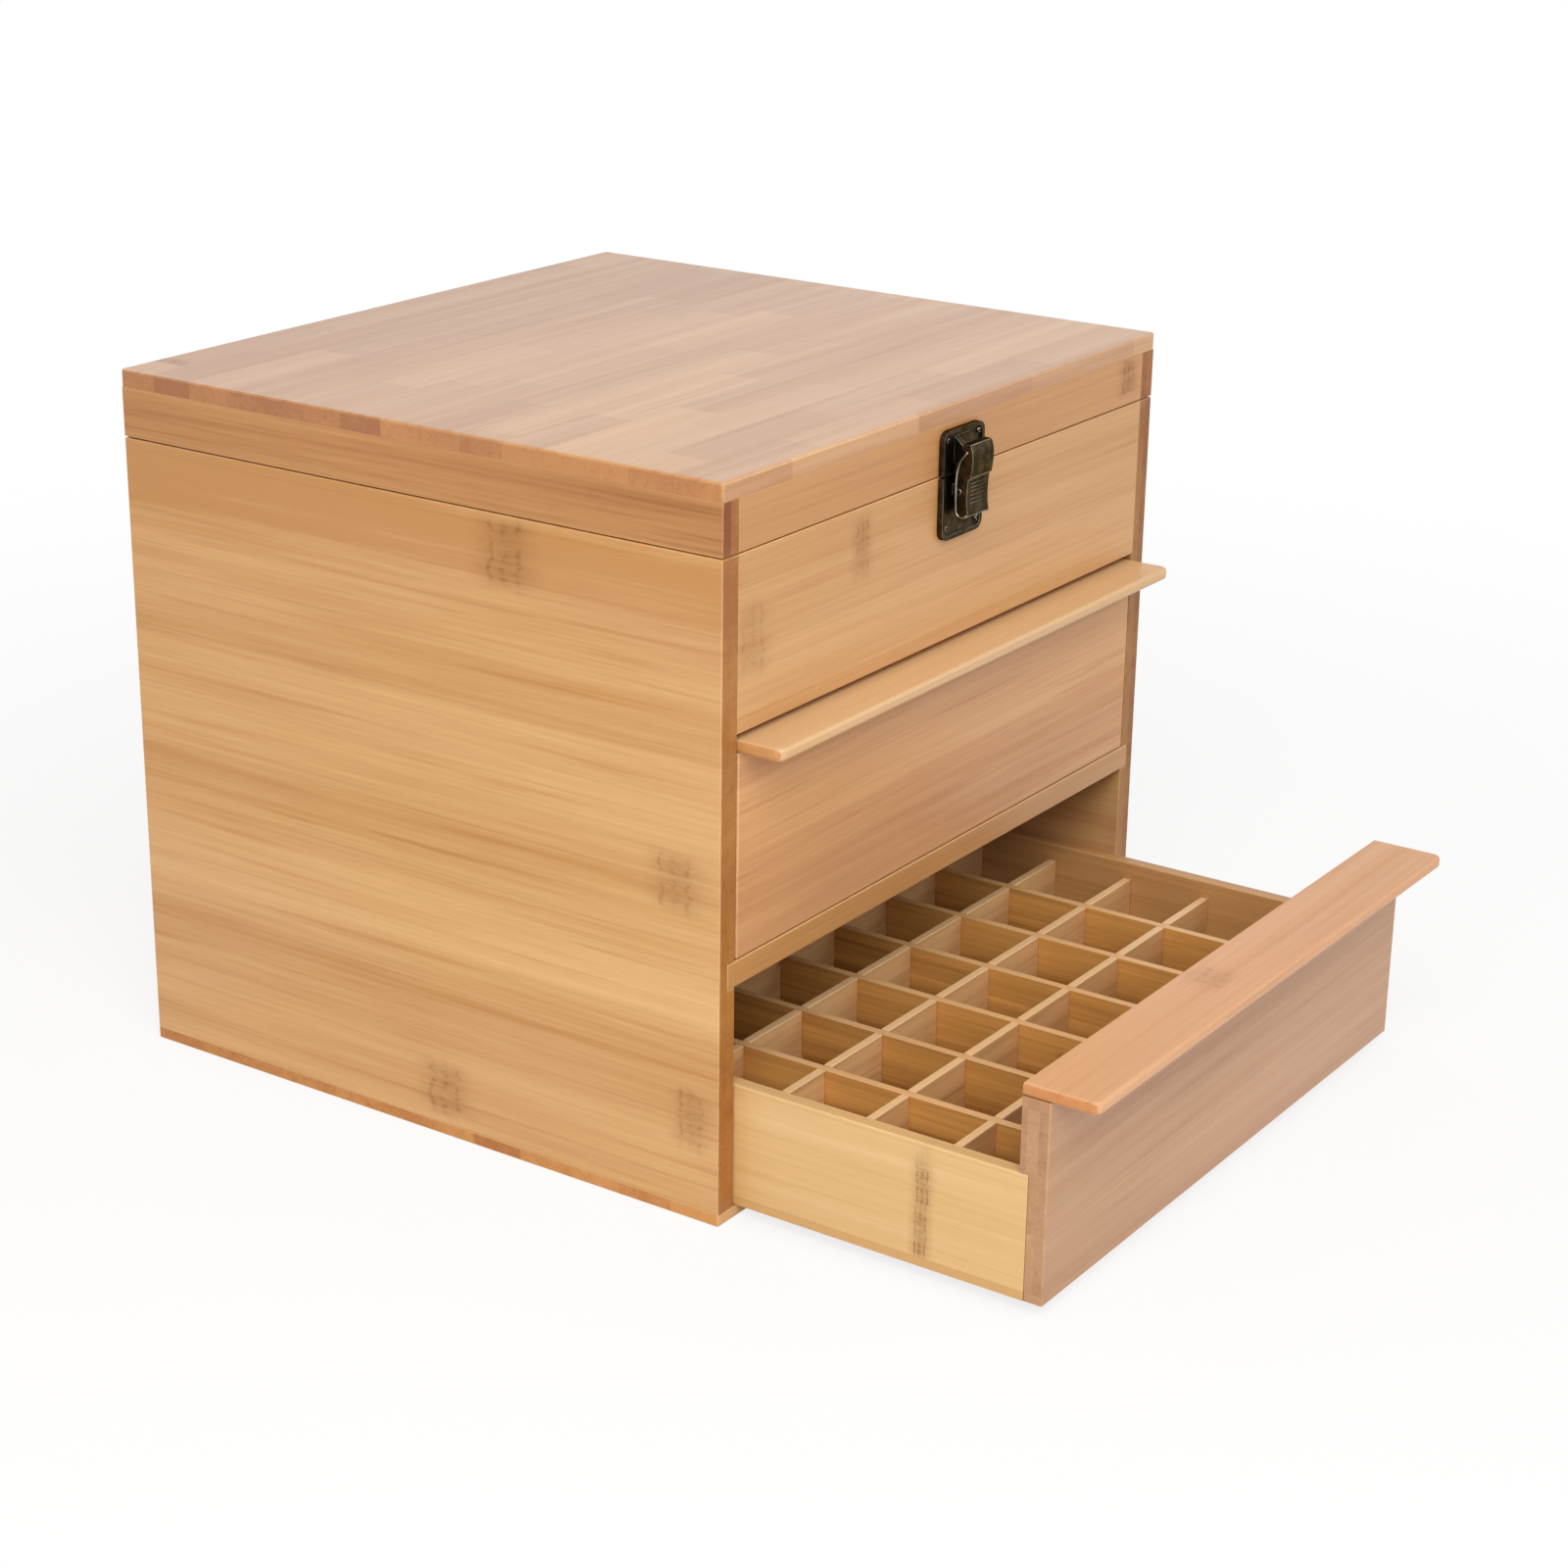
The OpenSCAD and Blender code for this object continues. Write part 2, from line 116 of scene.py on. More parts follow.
def linear(code: str) -> Colour:
    """Turns a colour code into the numbers that a shader takes.

    Args:
        code: Six hexadecimal digits after a hash sign, as a screen shows the colour.

    Returns:
        Red, green and blue in linear light, and full cover.
    """
    parts = [int(code[i:i + 2], 16) / 255 for i in (1, 3, 5)]
    light = [c / 12.92 if c <= 0.04045 else ((c + 0.055) / 1.055) ** 2.4 for c in parts]
    return (light[0], light[1], light[2], 1.0)


class Tree:
    """Adds nodes to one node tree and links them."""

    def __init__(self, tree: NodeTree) -> None:
        """Keeps the tree that the nodes go into."""
        self.tree = tree

    def feed(self, socket: Socket, value: object) -> None:
        """Links a socket to an input, or sets the input to a plain value."""
        if isinstance(value, Socket):
            self.tree.links.new(value, socket)
        else:
            socket.default_value = value

    def add(self, kind: str, inputs: dict | None = None, **settings: object) -> Node:
        """Makes one node.

        Args:
            kind: The node's type name.
            inputs: Values or sockets for its inputs, by name or place.
            settings: The node's own options.

        Returns:
            The new node.
        """
        node = self.tree.nodes.new(kind)
        for key, value in settings.items():
            setattr(node, key, value)
        for key, value in (inputs or {}).items():
            self.feed(node.inputs[key], value)
        return node

    def group(self, tree: NodeTree, inputs: dict) -> Node:
        """Places a node group with its own values."""
        return self.add("ShaderNodeGroup", inputs, node_tree=tree)

    def math(self, operation: str, first: object, second: object = 0.0, clamp: bool = False) -> Socket:
        """Works out one number from two."""
        node = self.add("ShaderNodeMath", {0: first, 1: second}, operation=operation, use_clamp=clamp)
        return node.outputs[0]

    def fold(self, operation: str, first: object, *others: object) -> Socket:
        """Works out one number from several, from left to right."""
        for other in others:
            first = self.math(operation, first, other)
        return first

    def total(self, *values: object) -> Socket:
        """Adds up several numbers."""
        return self.fold("ADD", *values)

    def product(self, *values: object) -> Socket:
        """Multiplies several numbers."""
        return self.fold("MULTIPLY", *values)

    def highest(self, *values: object) -> Socket:
        """Takes the highest of several numbers."""
        return self.fold("MAXIMUM", *values)

    def gap(self, first: object, second: object) -> Socket:
        """Tells how far apart two numbers are."""
        return self.math("ABSOLUTE", self.math("SUBTRACT", first, second))

    def spread(self, value: object, amount: object) -> Socket:
        """Centres a value from 0 to 1 on 0 and scales it."""
        return self.product(self.math("SUBTRACT", value, 0.5), amount)

    def vector(self, operation: str, first: object, second: object = (0, 0, 0)) -> Socket:
        """Works out one vector from two."""
        return self.add("ShaderNodeVectorMath", {0: first, 1: second}, operation=operation).outputs[0]

    def split(self, vector: object) -> list[Socket]:
        """Takes a vector apart."""
        return list(self.add("ShaderNodeSeparateXYZ", {0: vector}).outputs)

    def join(self, x: object, y: object, z: object) -> Socket:
        """Makes a vector of three numbers."""
        return self.add("ShaderNodeCombineXYZ", {0: x, 1: y, 2: z}).outputs[0]

    def noise(self, vector: Socket, per_metre: tuple, detail: float, rough: float = 0.5) -> Socket:
        """Soft noise with its own count per metre in each direction."""
        scaled = self.vector("MULTIPLY", vector, per_metre)
        inputs = {"Vector": scaled, "Scale": 1.0, "Detail": detail, "Roughness": rough}
        return self.add("ShaderNodeTexNoise", inputs).outputs[0]

    def chance(self, x: object, y: object, z: object) -> Socket:
        """A fixed number from 0 to 1 for each set of three numbers."""
        inputs = {"Vector": self.join(x, y, z)}
        return self.add("ShaderNodeTexWhiteNoise", inputs, noise_dimensions="3D").outputs["Value"]

    def ramp(self, value: object, low: object, high: object, start: object = 0.0,
             end: object = 1.0) -> Socket:
        """Goes smoothly from start to end as value goes from low to high."""
        inputs = {"Value": value, "From Min": low, "From Max": high, "To Min": start, "To Max": end}
        return self.add("ShaderNodeMapRange", inputs, interpolation_type="SMOOTHSTEP").outputs[0]

    def mix(self, share: object, first: object, second: object, blend: str = "MIX") -> Socket:
        """Mixes two colours."""
        inputs = {0: share, 6: first, 7: second}
        return self.add("ShaderNodeMix", inputs, data_type="RGBA", blend_type=blend).outputs[2]


class GroupMaker:
    """Base of the shared shader effects: makes a node group once, with named sockets."""

    name = ""
    inputs: dict[str, str] = {}
    outputs: dict[str, str] = {}

    def tree(self) -> NodeTree:
        """Gives the node group, made on first use.

        Returns:
            The group's node tree.
        """
        ready = bpy.data.node_groups.get(self.name)
        if ready:
            return ready
        made = bpy.data.node_groups.new(self.name, "ShaderNodeTree")
        for way, sockets in (("INPUT", self.inputs), ("OUTPUT", self.outputs)):
            for label, kind in sockets.items():
                made.interface.new_socket(name=label, in_out=way, socket_type="NodeSocket" + kind)
        tree = Tree(made)
        given = tree.add("NodeGroupInput").outputs
        tree.add("NodeGroupOutput", self.paint(tree, given))
        return made

    def paint(self, tree: Tree, given: NodeOutputs) -> dict[str, Socket]:
        """Builds the effect and returns a socket for each output."""
        raise NotImplementedError


class KnuckleMark(GroupMaker):
    """One knuckle of the cane at a chosen place: a soft cloud and broken lines across the grain."""

    name = "knuckle_mark"
    cloud = 0.66
    cloud_reach = 2.1
    lines = ((-0.6, 0.36), (0.1, 0.5), (0.75, 0.32))
    ragged_scale = (35, 260, 260)
    broken_scale = (150, 420, 420)
    waver_scale = (90, 90, 90)
    inputs = {"Vector": "Vector", "Centre": "Vector", "Half size": "Vector", "Strength": "Float"}
    outputs = {"Mask": "Float"}

    def paint(self, tree: Tree, given: NodeOutputs) -> dict[str, Socket]:
        """Builds the effect and returns a socket for each output."""
        away = tree.vector("SUBTRACT", given["Vector"], given["Centre"])
        along, across, _ = tree.split(tree.vector("DIVIDE", away, given["Half size"]))
        ragged = tree.spread(tree.noise(given["Vector"], self.ragged_scale, 2.5, 0.6), 0.9)
        bent = tree.total(along, ragged)
        cloud = tree.ramp(tree.math("ABSOLUTE", bent), self.cloud_reach, 0.0, 0.0, self.cloud)
        broken = tree.ramp(tree.noise(given["Vector"], self.broken_scale, 2.0, 0.6), 0.32, 0.55)
        lines = tree.highest(*(tree.ramp(tree.gap(bent, place), half, 0.0) for place, half in self.lines))
        waver = tree.spread(tree.noise(given["Vector"], self.waver_scale, 1.0), 0.7)
        width = tree.math("ABSOLUTE", tree.total(across, waver))
        mask = tree.highest(cloud, tree.product(lines, broken))
        return {"Mask": tree.product(mask, tree.ramp(width, 1.15, 0.6), given["Strength"])}


class ToneBand(GroupMaker):
    """A soft band along the grain that is paler or deeper than the rest of the board."""

    name = "tone_band"
    inputs = {"Vector": "Vector", "Centre": "Float", "Half width": "Float", "Shift": "Float"}
    outputs = {"Value": "Float"}
    sway_scale = (5, 18, 18)
    sway = 0.02

    def paint(self, tree: Tree, given: NodeOutputs) -> dict[str, Socket]:
        """Builds the effect and returns a socket for each output."""
        across = tree.split(given["Vector"])[1]
        sway = tree.spread(tree.noise(given["Vector"], self.sway_scale, 2.0), self.sway)
        near = tree.ramp(tree.gap(tree.total(across, sway), given["Centre"]), given["Half width"], 0.0)
        return {"Value": tree.product(near, given["Shift"])}


class EdgeWear(GroupMaker):
    """How much of an eased edge is rubbed bare, from the piece's own edge layer."""

    name = "edge_wear"
    inputs = {"Vector": "Vector", "Edge": "Float", "Amount": "Float"}
    outputs = {"Mask": "Float"}
    patch_scale = (160, 160, 160)

    def paint(self, tree: Tree, given: NodeOutputs) -> dict[str, Socket]:
        """Builds the effect and returns a socket for each output."""
        patch = tree.noise(given["Vector"], self.patch_scale, 3.0, 0.6)
        bare = tree.ramp(patch, 0.3, 0.6, 0.35, 1.0)
        return {"Mask": tree.product(bare, given["Edge"], given["Amount"])}


class BambooGrain(GroupMaker):
    """Sawn bamboo: glued lamellae, streaks and fibres along the grain, knuckles and end grain.

    The vector holds metres along the grain, across the lamellae and through the plies.
    """

    name = "bamboo_grain"
    inputs = {
        "Vector": "Vector", "End": "Float", "Marks": "Float", "Pale": "Color", "Deep": "Color",
        "Lamella": "Float", "Stave": "Float", "Ply": "Float", "Seed": "Float", "Contrast": "Float",
        "Bands": "Float", "Streaks": "Float", "Knuckles": "Float", "Shift": "Float", "Blush": "Float",
        "End contrast": "Float", "End rows": "Float", "End tone": "Color",
    }
    outputs = {"Color": "Color", "Roughness": "Float", "Height": "Float"}
    knuckle_pitch = 0.21
    knuckle_half = 0.0045
    glue_line = 0.0005
    sway = 0.003
    fibre_share = 0.5
    vein_share = -0.22
    glue_share = 0.1
    burnt_share = 0.8
    pore_share = 0.12
    sway_scale = (3, 14, 14)
    band_scale = (1.3, 30, 30)
    streak_scale = (4.5, 170, 170)
    fibre_scale = (18, 820, 820)
    vein_scale = (9, 330, 330)
    stroke_scale = (60, 520, 520)
    blush_scale = (3, 8, 8)
    pore_scale = (60, 900, 900)
    knuckle_scale = (45, 260, 260)
    burnt = linear("#824d0e")
    rosy = linear("#d8ad92")
    pore = linear("#b08458")

    def paint(self, tree: Tree, given: NodeOutputs) -> dict[str, Socket]:
        """Builds the effect and returns a socket for each output."""
        seed = given["Seed"]
        shift = tree.join(tree.product(seed, 3.7), tree.product(seed, 1.3), seed)
        place = tree.vector("ADD", given["Vector"], shift)
        along, across, through = tree.split(given["Vector"])

        # Which lamella, ply and stave a point lies in, and how near a glue line it is
        sway = tree.spread(tree.noise(place, self.sway_scale, 2.0), self.sway)
        wavy = tree.total(across, sway, tree.product(seed, 0.0137))
        rows = tree.math("DIVIDE", wavy, given["Lamella"])
        row = tree.math("FLOOR", rows)
        ply = tree.math("FLOOR", tree.math("DIVIDE", through, given["Ply"]))
        start = tree.product(tree.chance(row, 3.0, seed), 7.0)
        stave = tree.math("FLOOR", tree.total(tree.math("DIVIDE", along, given["Stave"]), start))
        tone = tree.chance(row, stave, seed)
        end_tone = tree.chance(tree.product(row, given["End rows"]), ply, seed)
        in_row = tree.math("PINGPONG", tree.math("SUBTRACT", rows, row), 0.5)
        glue = tree.ramp(tree.product(in_row, given["Lamella"]), self.glue_line, 0.0)

        # Bands, streaks, fibres and veins along the grain
        band = tree.noise(place, self.band_scale, 2.0, 0.5)
        streak = tree.noise(place, self.streak_scale, 4.0, 0.66)
        fibre = tree.noise(place, self.fibre_scale, 2.0, 0.6)
        vein = tree.ramp(tree.noise(place, self.vein_scale, 2.0, 0.55), 0.56, 0.72)
        stroke = tree.ramp(tree.noise(place, self.stroke_scale, 2.0, 0.6), 0.34, 0.62)

        # The board's tone between deep and pale, with a rosy blush
        shade = tree.total(
            0.5, given["Shift"], tree.spread(tone, given["Contrast"]), tree.spread(band, given["Bands"]),
            tree.spread(streak, given["Streaks"]),
            tree.spread(fibre, tree.product(given["Streaks"], self.fibre_share)),
            tree.product(vein, given["Streaks"], self.vein_share),
        )
        block = tree.product(given["End"], given["End contrast"])
        shade = tree.math("ADD", shade, tree.spread(end_tone, block), clamp=True)
        colour = tree.mix(shade, given["Deep"], given["Pale"])
        patch = tree.ramp(tree.noise(place, self.blush_scale, 2.0), 0.4, 0.7)
        colour = tree.mix(tree.product(patch, given["Blush"]), colour, self.rosy)
        colour = tree.mix(tree.product(glue, self.glue_share), colour, self.burnt)

        # Knuckles, which the end grain doesn't show
        scattered = self.knuckles(tree, given, place, along, row, in_row)
        mark = tree.highest(scattered, given["Marks"])
        side_on = tree.math("SUBTRACT", 1.0, given["End"])
        mark = tree.product(mark, tree.total(0.6, tree.product(stroke, 0.4)), side_on)
        colour = tree.mix(tree.product(mark, self.burnt_share), colour, self.burnt)

        # End grain with its pores
        pores = tree.ramp(tree.noise(place, self.pore_scale, 2.0, 0.7), 0.42, 0.66)
        ended = tree.mix(tree.product(pores, self.pore_share), given["End tone"], self.pore)
        colour = tree.mix(given["End"], colour, ended, "MULTIPLY")

        # Gloss and relief
        smooth = tree.ramp(streak, 0.2, 0.8, 0.5, 0.36)
        rough = tree.total(smooth, tree.product(mark, 0.12), tree.product(given["End"], 0.14))
        height = tree.total(tree.product(streak, 0.7), tree.product(fibre, 0.5), tree.product(mark, -0.06),
                            tree.product(glue, -0.4))
        return {"Color": colour, "Roughness": rough, "Height": height}

    def knuckles(self, tree: Tree, given: NodeOutputs, place: Socket, along: Socket, row: Socket,
                 in_row: Socket) -> Socket:
        """Scatters knuckles, at most one on each lamella in each pitch.

        Args:
            tree: The group's tree.
            given: The group's inputs.
            place: The shifted vector.
            along: Metres along the grain.
            row: The lamella's number.
            in_row: Distance from the lamella's edge, as a share of its width.

        Returns:
            A mask of the knuckles.
        """
        offset = tree.chance(row, 7.0, given["Seed"])
        steps = tree.total(tree.math("DIVIDE", along, self.knuckle_pitch), offset)
        cell = tree.math("FLOOR", steps)
        off_middle = tree.math("SUBTRACT", tree.math("SUBTRACT", steps, cell), 0.5)
        ragged = tree.spread(tree.noise(place, self.knuckle_scale, 3.0, 0.6), 0.012)
        length = tree.math("ABSOLUTE", tree.total(tree.product(off_middle, self.knuckle_pitch), ragged))
        here = tree.math("LESS_THAN", tree.chance(row, cell, given["Seed"]), given["Knuckles"])
        near = tree.ramp(length, self.knuckle_half, self.knuckle_half * 0.2)
        return tree.product(near, here, tree.ramp(in_row, 0.02, 0.12))


class Patina(GroupMaker):
    """Aged metal: cloudy tarnish, fine scratches and bare metal on the edges."""

    name = "patina"
    inputs = {
        "Vector": "Vector", "Wear": "Float", "Dark": "Color", "Brown": "Color", "Bare": "Color",
        "Smooth": "Float", "Dull": "Float",
    }
    outputs = {"Color": "Color", "Roughness": "Float", "Height": "Float"}
    cloud_scale = (240, 240, 240)
    speck_scale = (1900, 1900, 1900)
    scratch_scale = (1500, 1500, 120)

    def paint(self, tree: Tree, given: NodeOutputs) -> dict[str, Socket]:
        """Builds the effect and returns a socket for each output."""
        cloud = tree.noise(given["Vector"], self.cloud_scale, 4.0, 0.62)
        speck = tree.noise(given["Vector"], self.speck_scale, 2.0, 0.6)
        scratch = tree.noise(given["Vector"], self.scratch_scale, 3.0, 0.6)
        tarnish = tree.ramp(cloud, 0.32, 0.68)
        colour = tree.mix(tarnish, given["Dark"], given["Brown"])
        fleck = tree.product(tree.ramp(speck, 0.62, 0.78), 0.25)
        bare = tree.highest(given["Wear"], fleck)
        colour = tree.mix(bare, colour, given["Bare"])
        rubbed = tree.total(cloud, tree.spread(scratch, 0.5))
        rough = tree.ramp(rubbed, 0.25, 0.75, given["Dull"], given["Smooth"])
        rough = tree.total(rough, tree.product(given["Wear"], -0.08))
        height = tree.total(tree.product(cloud, 0.6), tree.product(scratch, 0.3))
        return {"Color": colour, "Roughness": rough, "Height": height}


def new_material(name: str) -> tuple[Material, Tree, Node]:
    """Starts a material with a bare shader.

    Args:
        name: The material's name.

    Returns:
        The material, its tree and its shader.
    """
    material = bpy.data.materials.new(name)
    material.use_nodes = True
    material.node_tree.nodes.clear()
    tree = Tree(material.node_tree)
    shader = tree.add("ShaderNodeBsdfPrincipled")
    tree.add("ShaderNodeOutputMaterial", {"Surface": shader.outputs[0]})
    return material, tree, shader


def edge_wear(tree: Tree, place: Socket, amount: float) -> Socket:
    """Gives the mask of a piece's rubbed edges, from its edge layer."""
    edge = tree.add("ShaderNodeAttribute", attribute_name=EDGE_LAYER).outputs["Fac"]
    inputs = {"Vector": place, "Edge": edge, "Amount": amount}
    return tree.group(EdgeWear().tree(), inputs).outputs["Mask"]


def dress(tree: Tree, shader: Node, colour: Socket, painted: Node, relief: float,
          depth: float) -> None:
    """Feeds a shader with a finish.

    Args:
        tree: The material's tree.
        shader: The shader.
        colour: The colour.
        painted: The group that gives roughness and height.
        relief: The strength of the relief.
        depth: The depth of the relief in metres.
    """
    inputs = {"Height": painted.outputs["Height"], "Strength": relief, "Distance": depth}
    bump = tree.add("ShaderNodeBump", inputs)
    tree.feed(shader.inputs["Base Color"], colour)
    tree.feed(shader.inputs["Roughness"], painted.outputs["Roughness"])
    tree.feed(shader.inputs["Normal"], bump.outputs["Normal"])


@dataclass(frozen=True)
class Mark:
    """A knuckle at a chosen place on a board, in millimetres of the frame."""

    along: float
    across: float
    half_length: float
    half_width: float
    strength: float = 1.0

    def mask(self, tree: Tree, place: Socket) -> Socket:
        """Gives the mask of the knuckle."""
        return tree.group(KnuckleMark().tree(), {
            "Vector": place, "Strength": self.strength,
            "Centre": (self.along * MM, self.across * MM, 0.0),
            "Half size": (self.half_length * MM, self.half_width * MM, 1.0),
        }).outputs["Mask"]


@dataclass(frozen=True)
class Band:
    """A soft band along the grain, in millimetres of the frame, and how much paler it is; some bands paint
    light and shade.
    """

    across: float
    half_width: float
    shift: float

    def tone(self, tree: Tree, place: Socket) -> Socket:
        """Gives the tone shift of the band."""
        return tree.group(ToneBand().tree(), {
            "Vector": place, "Shift": self.shift,
            "Centre": self.across * MM, "Half width": self.half_width * MM,
        }).outputs["Value"]


@dataclass(frozen=True)
class Bamboo:
    """Lacquered bamboo with the pale and the deep tone and the grain of one board."""

    slot: Slot
    tones: Tones
    grain: Axis
    across: Axis
    seed: float = 1.0
    lamella: float = 20.0
    stave: float = 10000.0
    ply: float = 4.0
    contrast: float = 0.35
    bands: float = 0.9
    streaks: float = 1.1
    knuckles: float = 0.12
    blush: float = 0.0
    end_contrast: float = 0.5
    end_rows: float = 1.0
    ply_shift: float = 0.0
    rim_amount: float = 0.0
    end_tone: str = "#ecd2b0"
    ior: float = 1.47
    coat: float = 0.1
    coat_rough: float = 0.28
    marks: tuple[Mark, ...] = ()
    tone_bands: tuple[Band, ...] = ()
    relief: float = 0.12
    relief_depth: float = 0.4
    edge_pale: str = "#ecc795"
    edge_amount: float = 0.15
    turning: tuple[float, float] = (0.62, 0.8)

    def board_place(self, tree: Tree, coordinates: Node) -> Socket:
        """Gives metres along the grain, across the lamellae and through the plies."""
        parts = tree.split(coordinates.outputs["Object"])
        through = ({0, 1, 2} - {self.grain.value, self.across.value}).pop()
        shifted = tree.math("ADD", parts[through], self.ply_shift * MM)
        return tree.join(parts[self.grain.value], parts[self.across.value], shifted)

    def material(self, name: str) -> Material:
        """Builds the board's material.

        Args:
            name: The board's name.

        Returns:
            The new material.
        """
        material, tree, shader = new_material("bamboo_" + name)
        coordinates = tree.add("ShaderNodeTexCoord")
        place = self.board_place(tree, coordinates)
        facing = tree.split(coordinates.outputs["Normal"])
        end, rim = (tree.ramp(tree.math("ABSOLUTE", facing[axis.value]), *self.turning)
                    for axis in (self.grain, self.across))
        pale, deep = (linear(tone) for tone in self.tones)
        marks = tree.highest(0.0, *(mark.mask(tree, place) for mark in self.marks))
        shift = tree.total(0.0, *(band.tone(tree, place) for band in self.tone_bands))
        board = tree.group(BambooGrain().tree(), {
            "Vector": place, "End": end, "Marks": marks, "Pale": pale, "Deep": deep,
            "Lamella": self.lamella * MM, "Stave": self.stave * MM, "Ply": self.ply * MM, "Seed": self.seed,
            "Contrast": self.contrast, "Bands": self.bands, "Streaks": self.streaks,
            "Knuckles": self.knuckles, "Shift": shift, "Blush": self.blush,
            "End contrast": self.end_contrast, "End rows": self.end_rows, "End tone": linear(self.end_tone),
        })
        # Eased edges are paler, partly as wear and partly as a painted highlight; the rim share paints
        # faces across the lamellae paler, which on the divider strips is a painted highlight on their tops
        wear = edge_wear(tree, place, self.edge_amount)
        rubbed = tree.highest(wear, tree.product(rim, self.rim_amount))
        colour = tree.mix(rubbed, board.outputs["Color"], linear(self.edge_pale))
        dress(tree, shader, colour, board, self.relief, self.relief_depth * MM)
        shader.inputs["IOR"].default_value = self.ior
        shader.inputs["Coat Weight"].default_value = self.coat
        shader.inputs["Coat Roughness"].default_value = self.coat_rough
        return material


@dataclass(frozen=True)
class AgedMetal:
    """Plated metal with tarnish in its hollows and bare metal on its edges."""

    slot: Slot
    dark: str
    brown: str
    bare: str
    wear: float = 0.8
    smooth: float = 0.26
    dull: float = 0.42
    relief: float = 0.1
    relief_depth: float = 0.1
    edge_tint: str = "#c0b294"

    def material(self, name: str) -> Material:
        """Builds the metal's material.

        Args:
            name: The piece's name.

        Returns:
            The new material.
        """
        material, tree, shader = new_material("metal_" + name)
        place = tree.add("ShaderNodeTexCoord").outputs["Object"]
        metal = tree.group(Patina().tree(), {
            "Vector": place, "Wear": edge_wear(tree, place, self.wear),
            "Dark": linear(self.dark), "Brown": linear(self.brown), "Bare": linear(self.bare),
            "Smooth": self.smooth, "Dull": self.dull,
        })
        dress(tree, shader, metal.outputs["Color"], metal, self.relief, self.relief_depth * MM)
        shader.inputs["Metallic"].default_value = 1.0
        shader.inputs["Specular Tint"].default_value = linear(self.edge_tint)
        return material


BRONZE = AgedMetal(Slot.BRONZE, dark="#332c25", brown="#524a40", bare="#b4ab98")
HINGE_BRONZE = AgedMetal(Slot.BRONZE, dark="#3a2f20", brown="#57462c", bare="#b09c74", wear=0.6)
SPRING_STEEL = AgedMetal(Slot.STEEL, dark="#8f8f8c", brown="#a3a29d", bare="#c9c8c2", wear=0.4)


def rub(bm: BMesh, faces: Iterable[BMFace], share: float) -> None:
    """Notes in the edge layer how much of some faces is rubbed bare."""
    layer = bm.loops.layers.float_color[EDGE_LAYER]
    for face in faces:
        for loop in face.loops:
            loop[layer] = (share, share, share, 1.0)


def copy_solid(node: str) -> BMesh:
    """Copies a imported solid, merges its loose triangles and makes its flat faces whole.

    Args:
        node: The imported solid's name.

    Returns:
        A new bmesh with the edge layer added.
    """
    bm = bmesh.new()
    bm.from_mesh(frame["nodes"][node].data)
    loose, flat = 2 * MICRON, math.radians(0.4)
    bmesh.ops.remove_doubles(bm, verts=bm.verts, dist=loose)
    bmesh.ops.dissolve_limit(bm, angle_limit=flat, verts=bm.verts, edges=bm.edges)
    bm.loops.layers.float_color.new(EDGE_LAYER)
    rub(bm, bm.faces, 0.0)
    return bm


def sharp_edges(bm: BMesh, least: float = 40.0) -> list[BMEdge]:
    """Lists the edges where two faces meet at an angle.

    Args:
        bm: The mesh.
        least: The least angle between the faces, in degrees.

    Returns:
        The edges.
    """
    limit = math.radians(least)
    return [e for e in bm.edges if len(e.link_faces) == 2 and e.calc_face_angle() > limit]


def ease(bm: BMesh, edges: list[BMEdge], radius: float, segments: int = 3) -> None:
    """Rounds edges and notes the rounding in the edge layer.

    Args:
        bm: The mesh.
        edges: The edges to round.
        radius: The radius in metres.
        segments: Faces across the rounding.
    """
    if not edges:
        return
    made = bmesh.ops.bevel(bm, geom=edges, offset=radius, offset_type="OFFSET", affect="EDGES",
                           segments=segments, profile=0.5, material=-1, clamp_overlap=True)
    rub(bm, made["faces"], 1.0)
    for face in made["faces"]:
        face.smooth = True


def place_piece(bm: BMesh, name: str, body: str, material: Material,
                nodes: Iterable[str] = (), rides: bool = True) -> Object:
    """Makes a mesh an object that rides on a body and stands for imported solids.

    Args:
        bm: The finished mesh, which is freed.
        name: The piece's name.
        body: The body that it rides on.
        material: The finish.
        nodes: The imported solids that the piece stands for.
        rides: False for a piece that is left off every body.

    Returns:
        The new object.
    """
    mesh = bpy.data.meshes.new(name)
    bm.to_mesh(mesh)
    bm.free()
    mesh.materials.append(material)
    piece = bpy.data.objects.new(name, mesh)
    bpy.context.scene.collection.objects.link(piece)
    if rides:
        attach(piece, body)
    if nodes:
        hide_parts(*nodes)
    LOG.info("%s: %d faces on %s", name, len(mesh.polygons), body)
    return piece


@dataclass
class Piece:
    """Base of the dressed pieces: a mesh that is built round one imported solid."""

    node: str
    finish: Bamboo | AgedMetal
    rides: ClassVar[bool] = True

    def shape(self) -> BMesh:
        """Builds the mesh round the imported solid."""
        raise NotImplementedError

    def build(self) -> Object:
        """Builds and dresses the piece.

        Returns:
            The new piece.
        """
        return place_piece(self.shape(), self.node + "_finished", BODY_OF[self.node],
                           self.finish.material(self.node), [self.node], self.rides)


class Assembly:
    """Base of the sub-assemblies, which list their pieces and build them."""

    def parts(self) -> list[Piece]:
        """Lists the pieces with their finishes."""
        raise NotImplementedError

    def build(self) -> list[Object]:
        """Builds and dresses every piece.

        Returns:
            The new pieces.
        """
        pieces = [part.build() for part in self.parts()]
        LOG.info("%s: %d pieces", type(self).__name__, len(pieces))
        return pieces


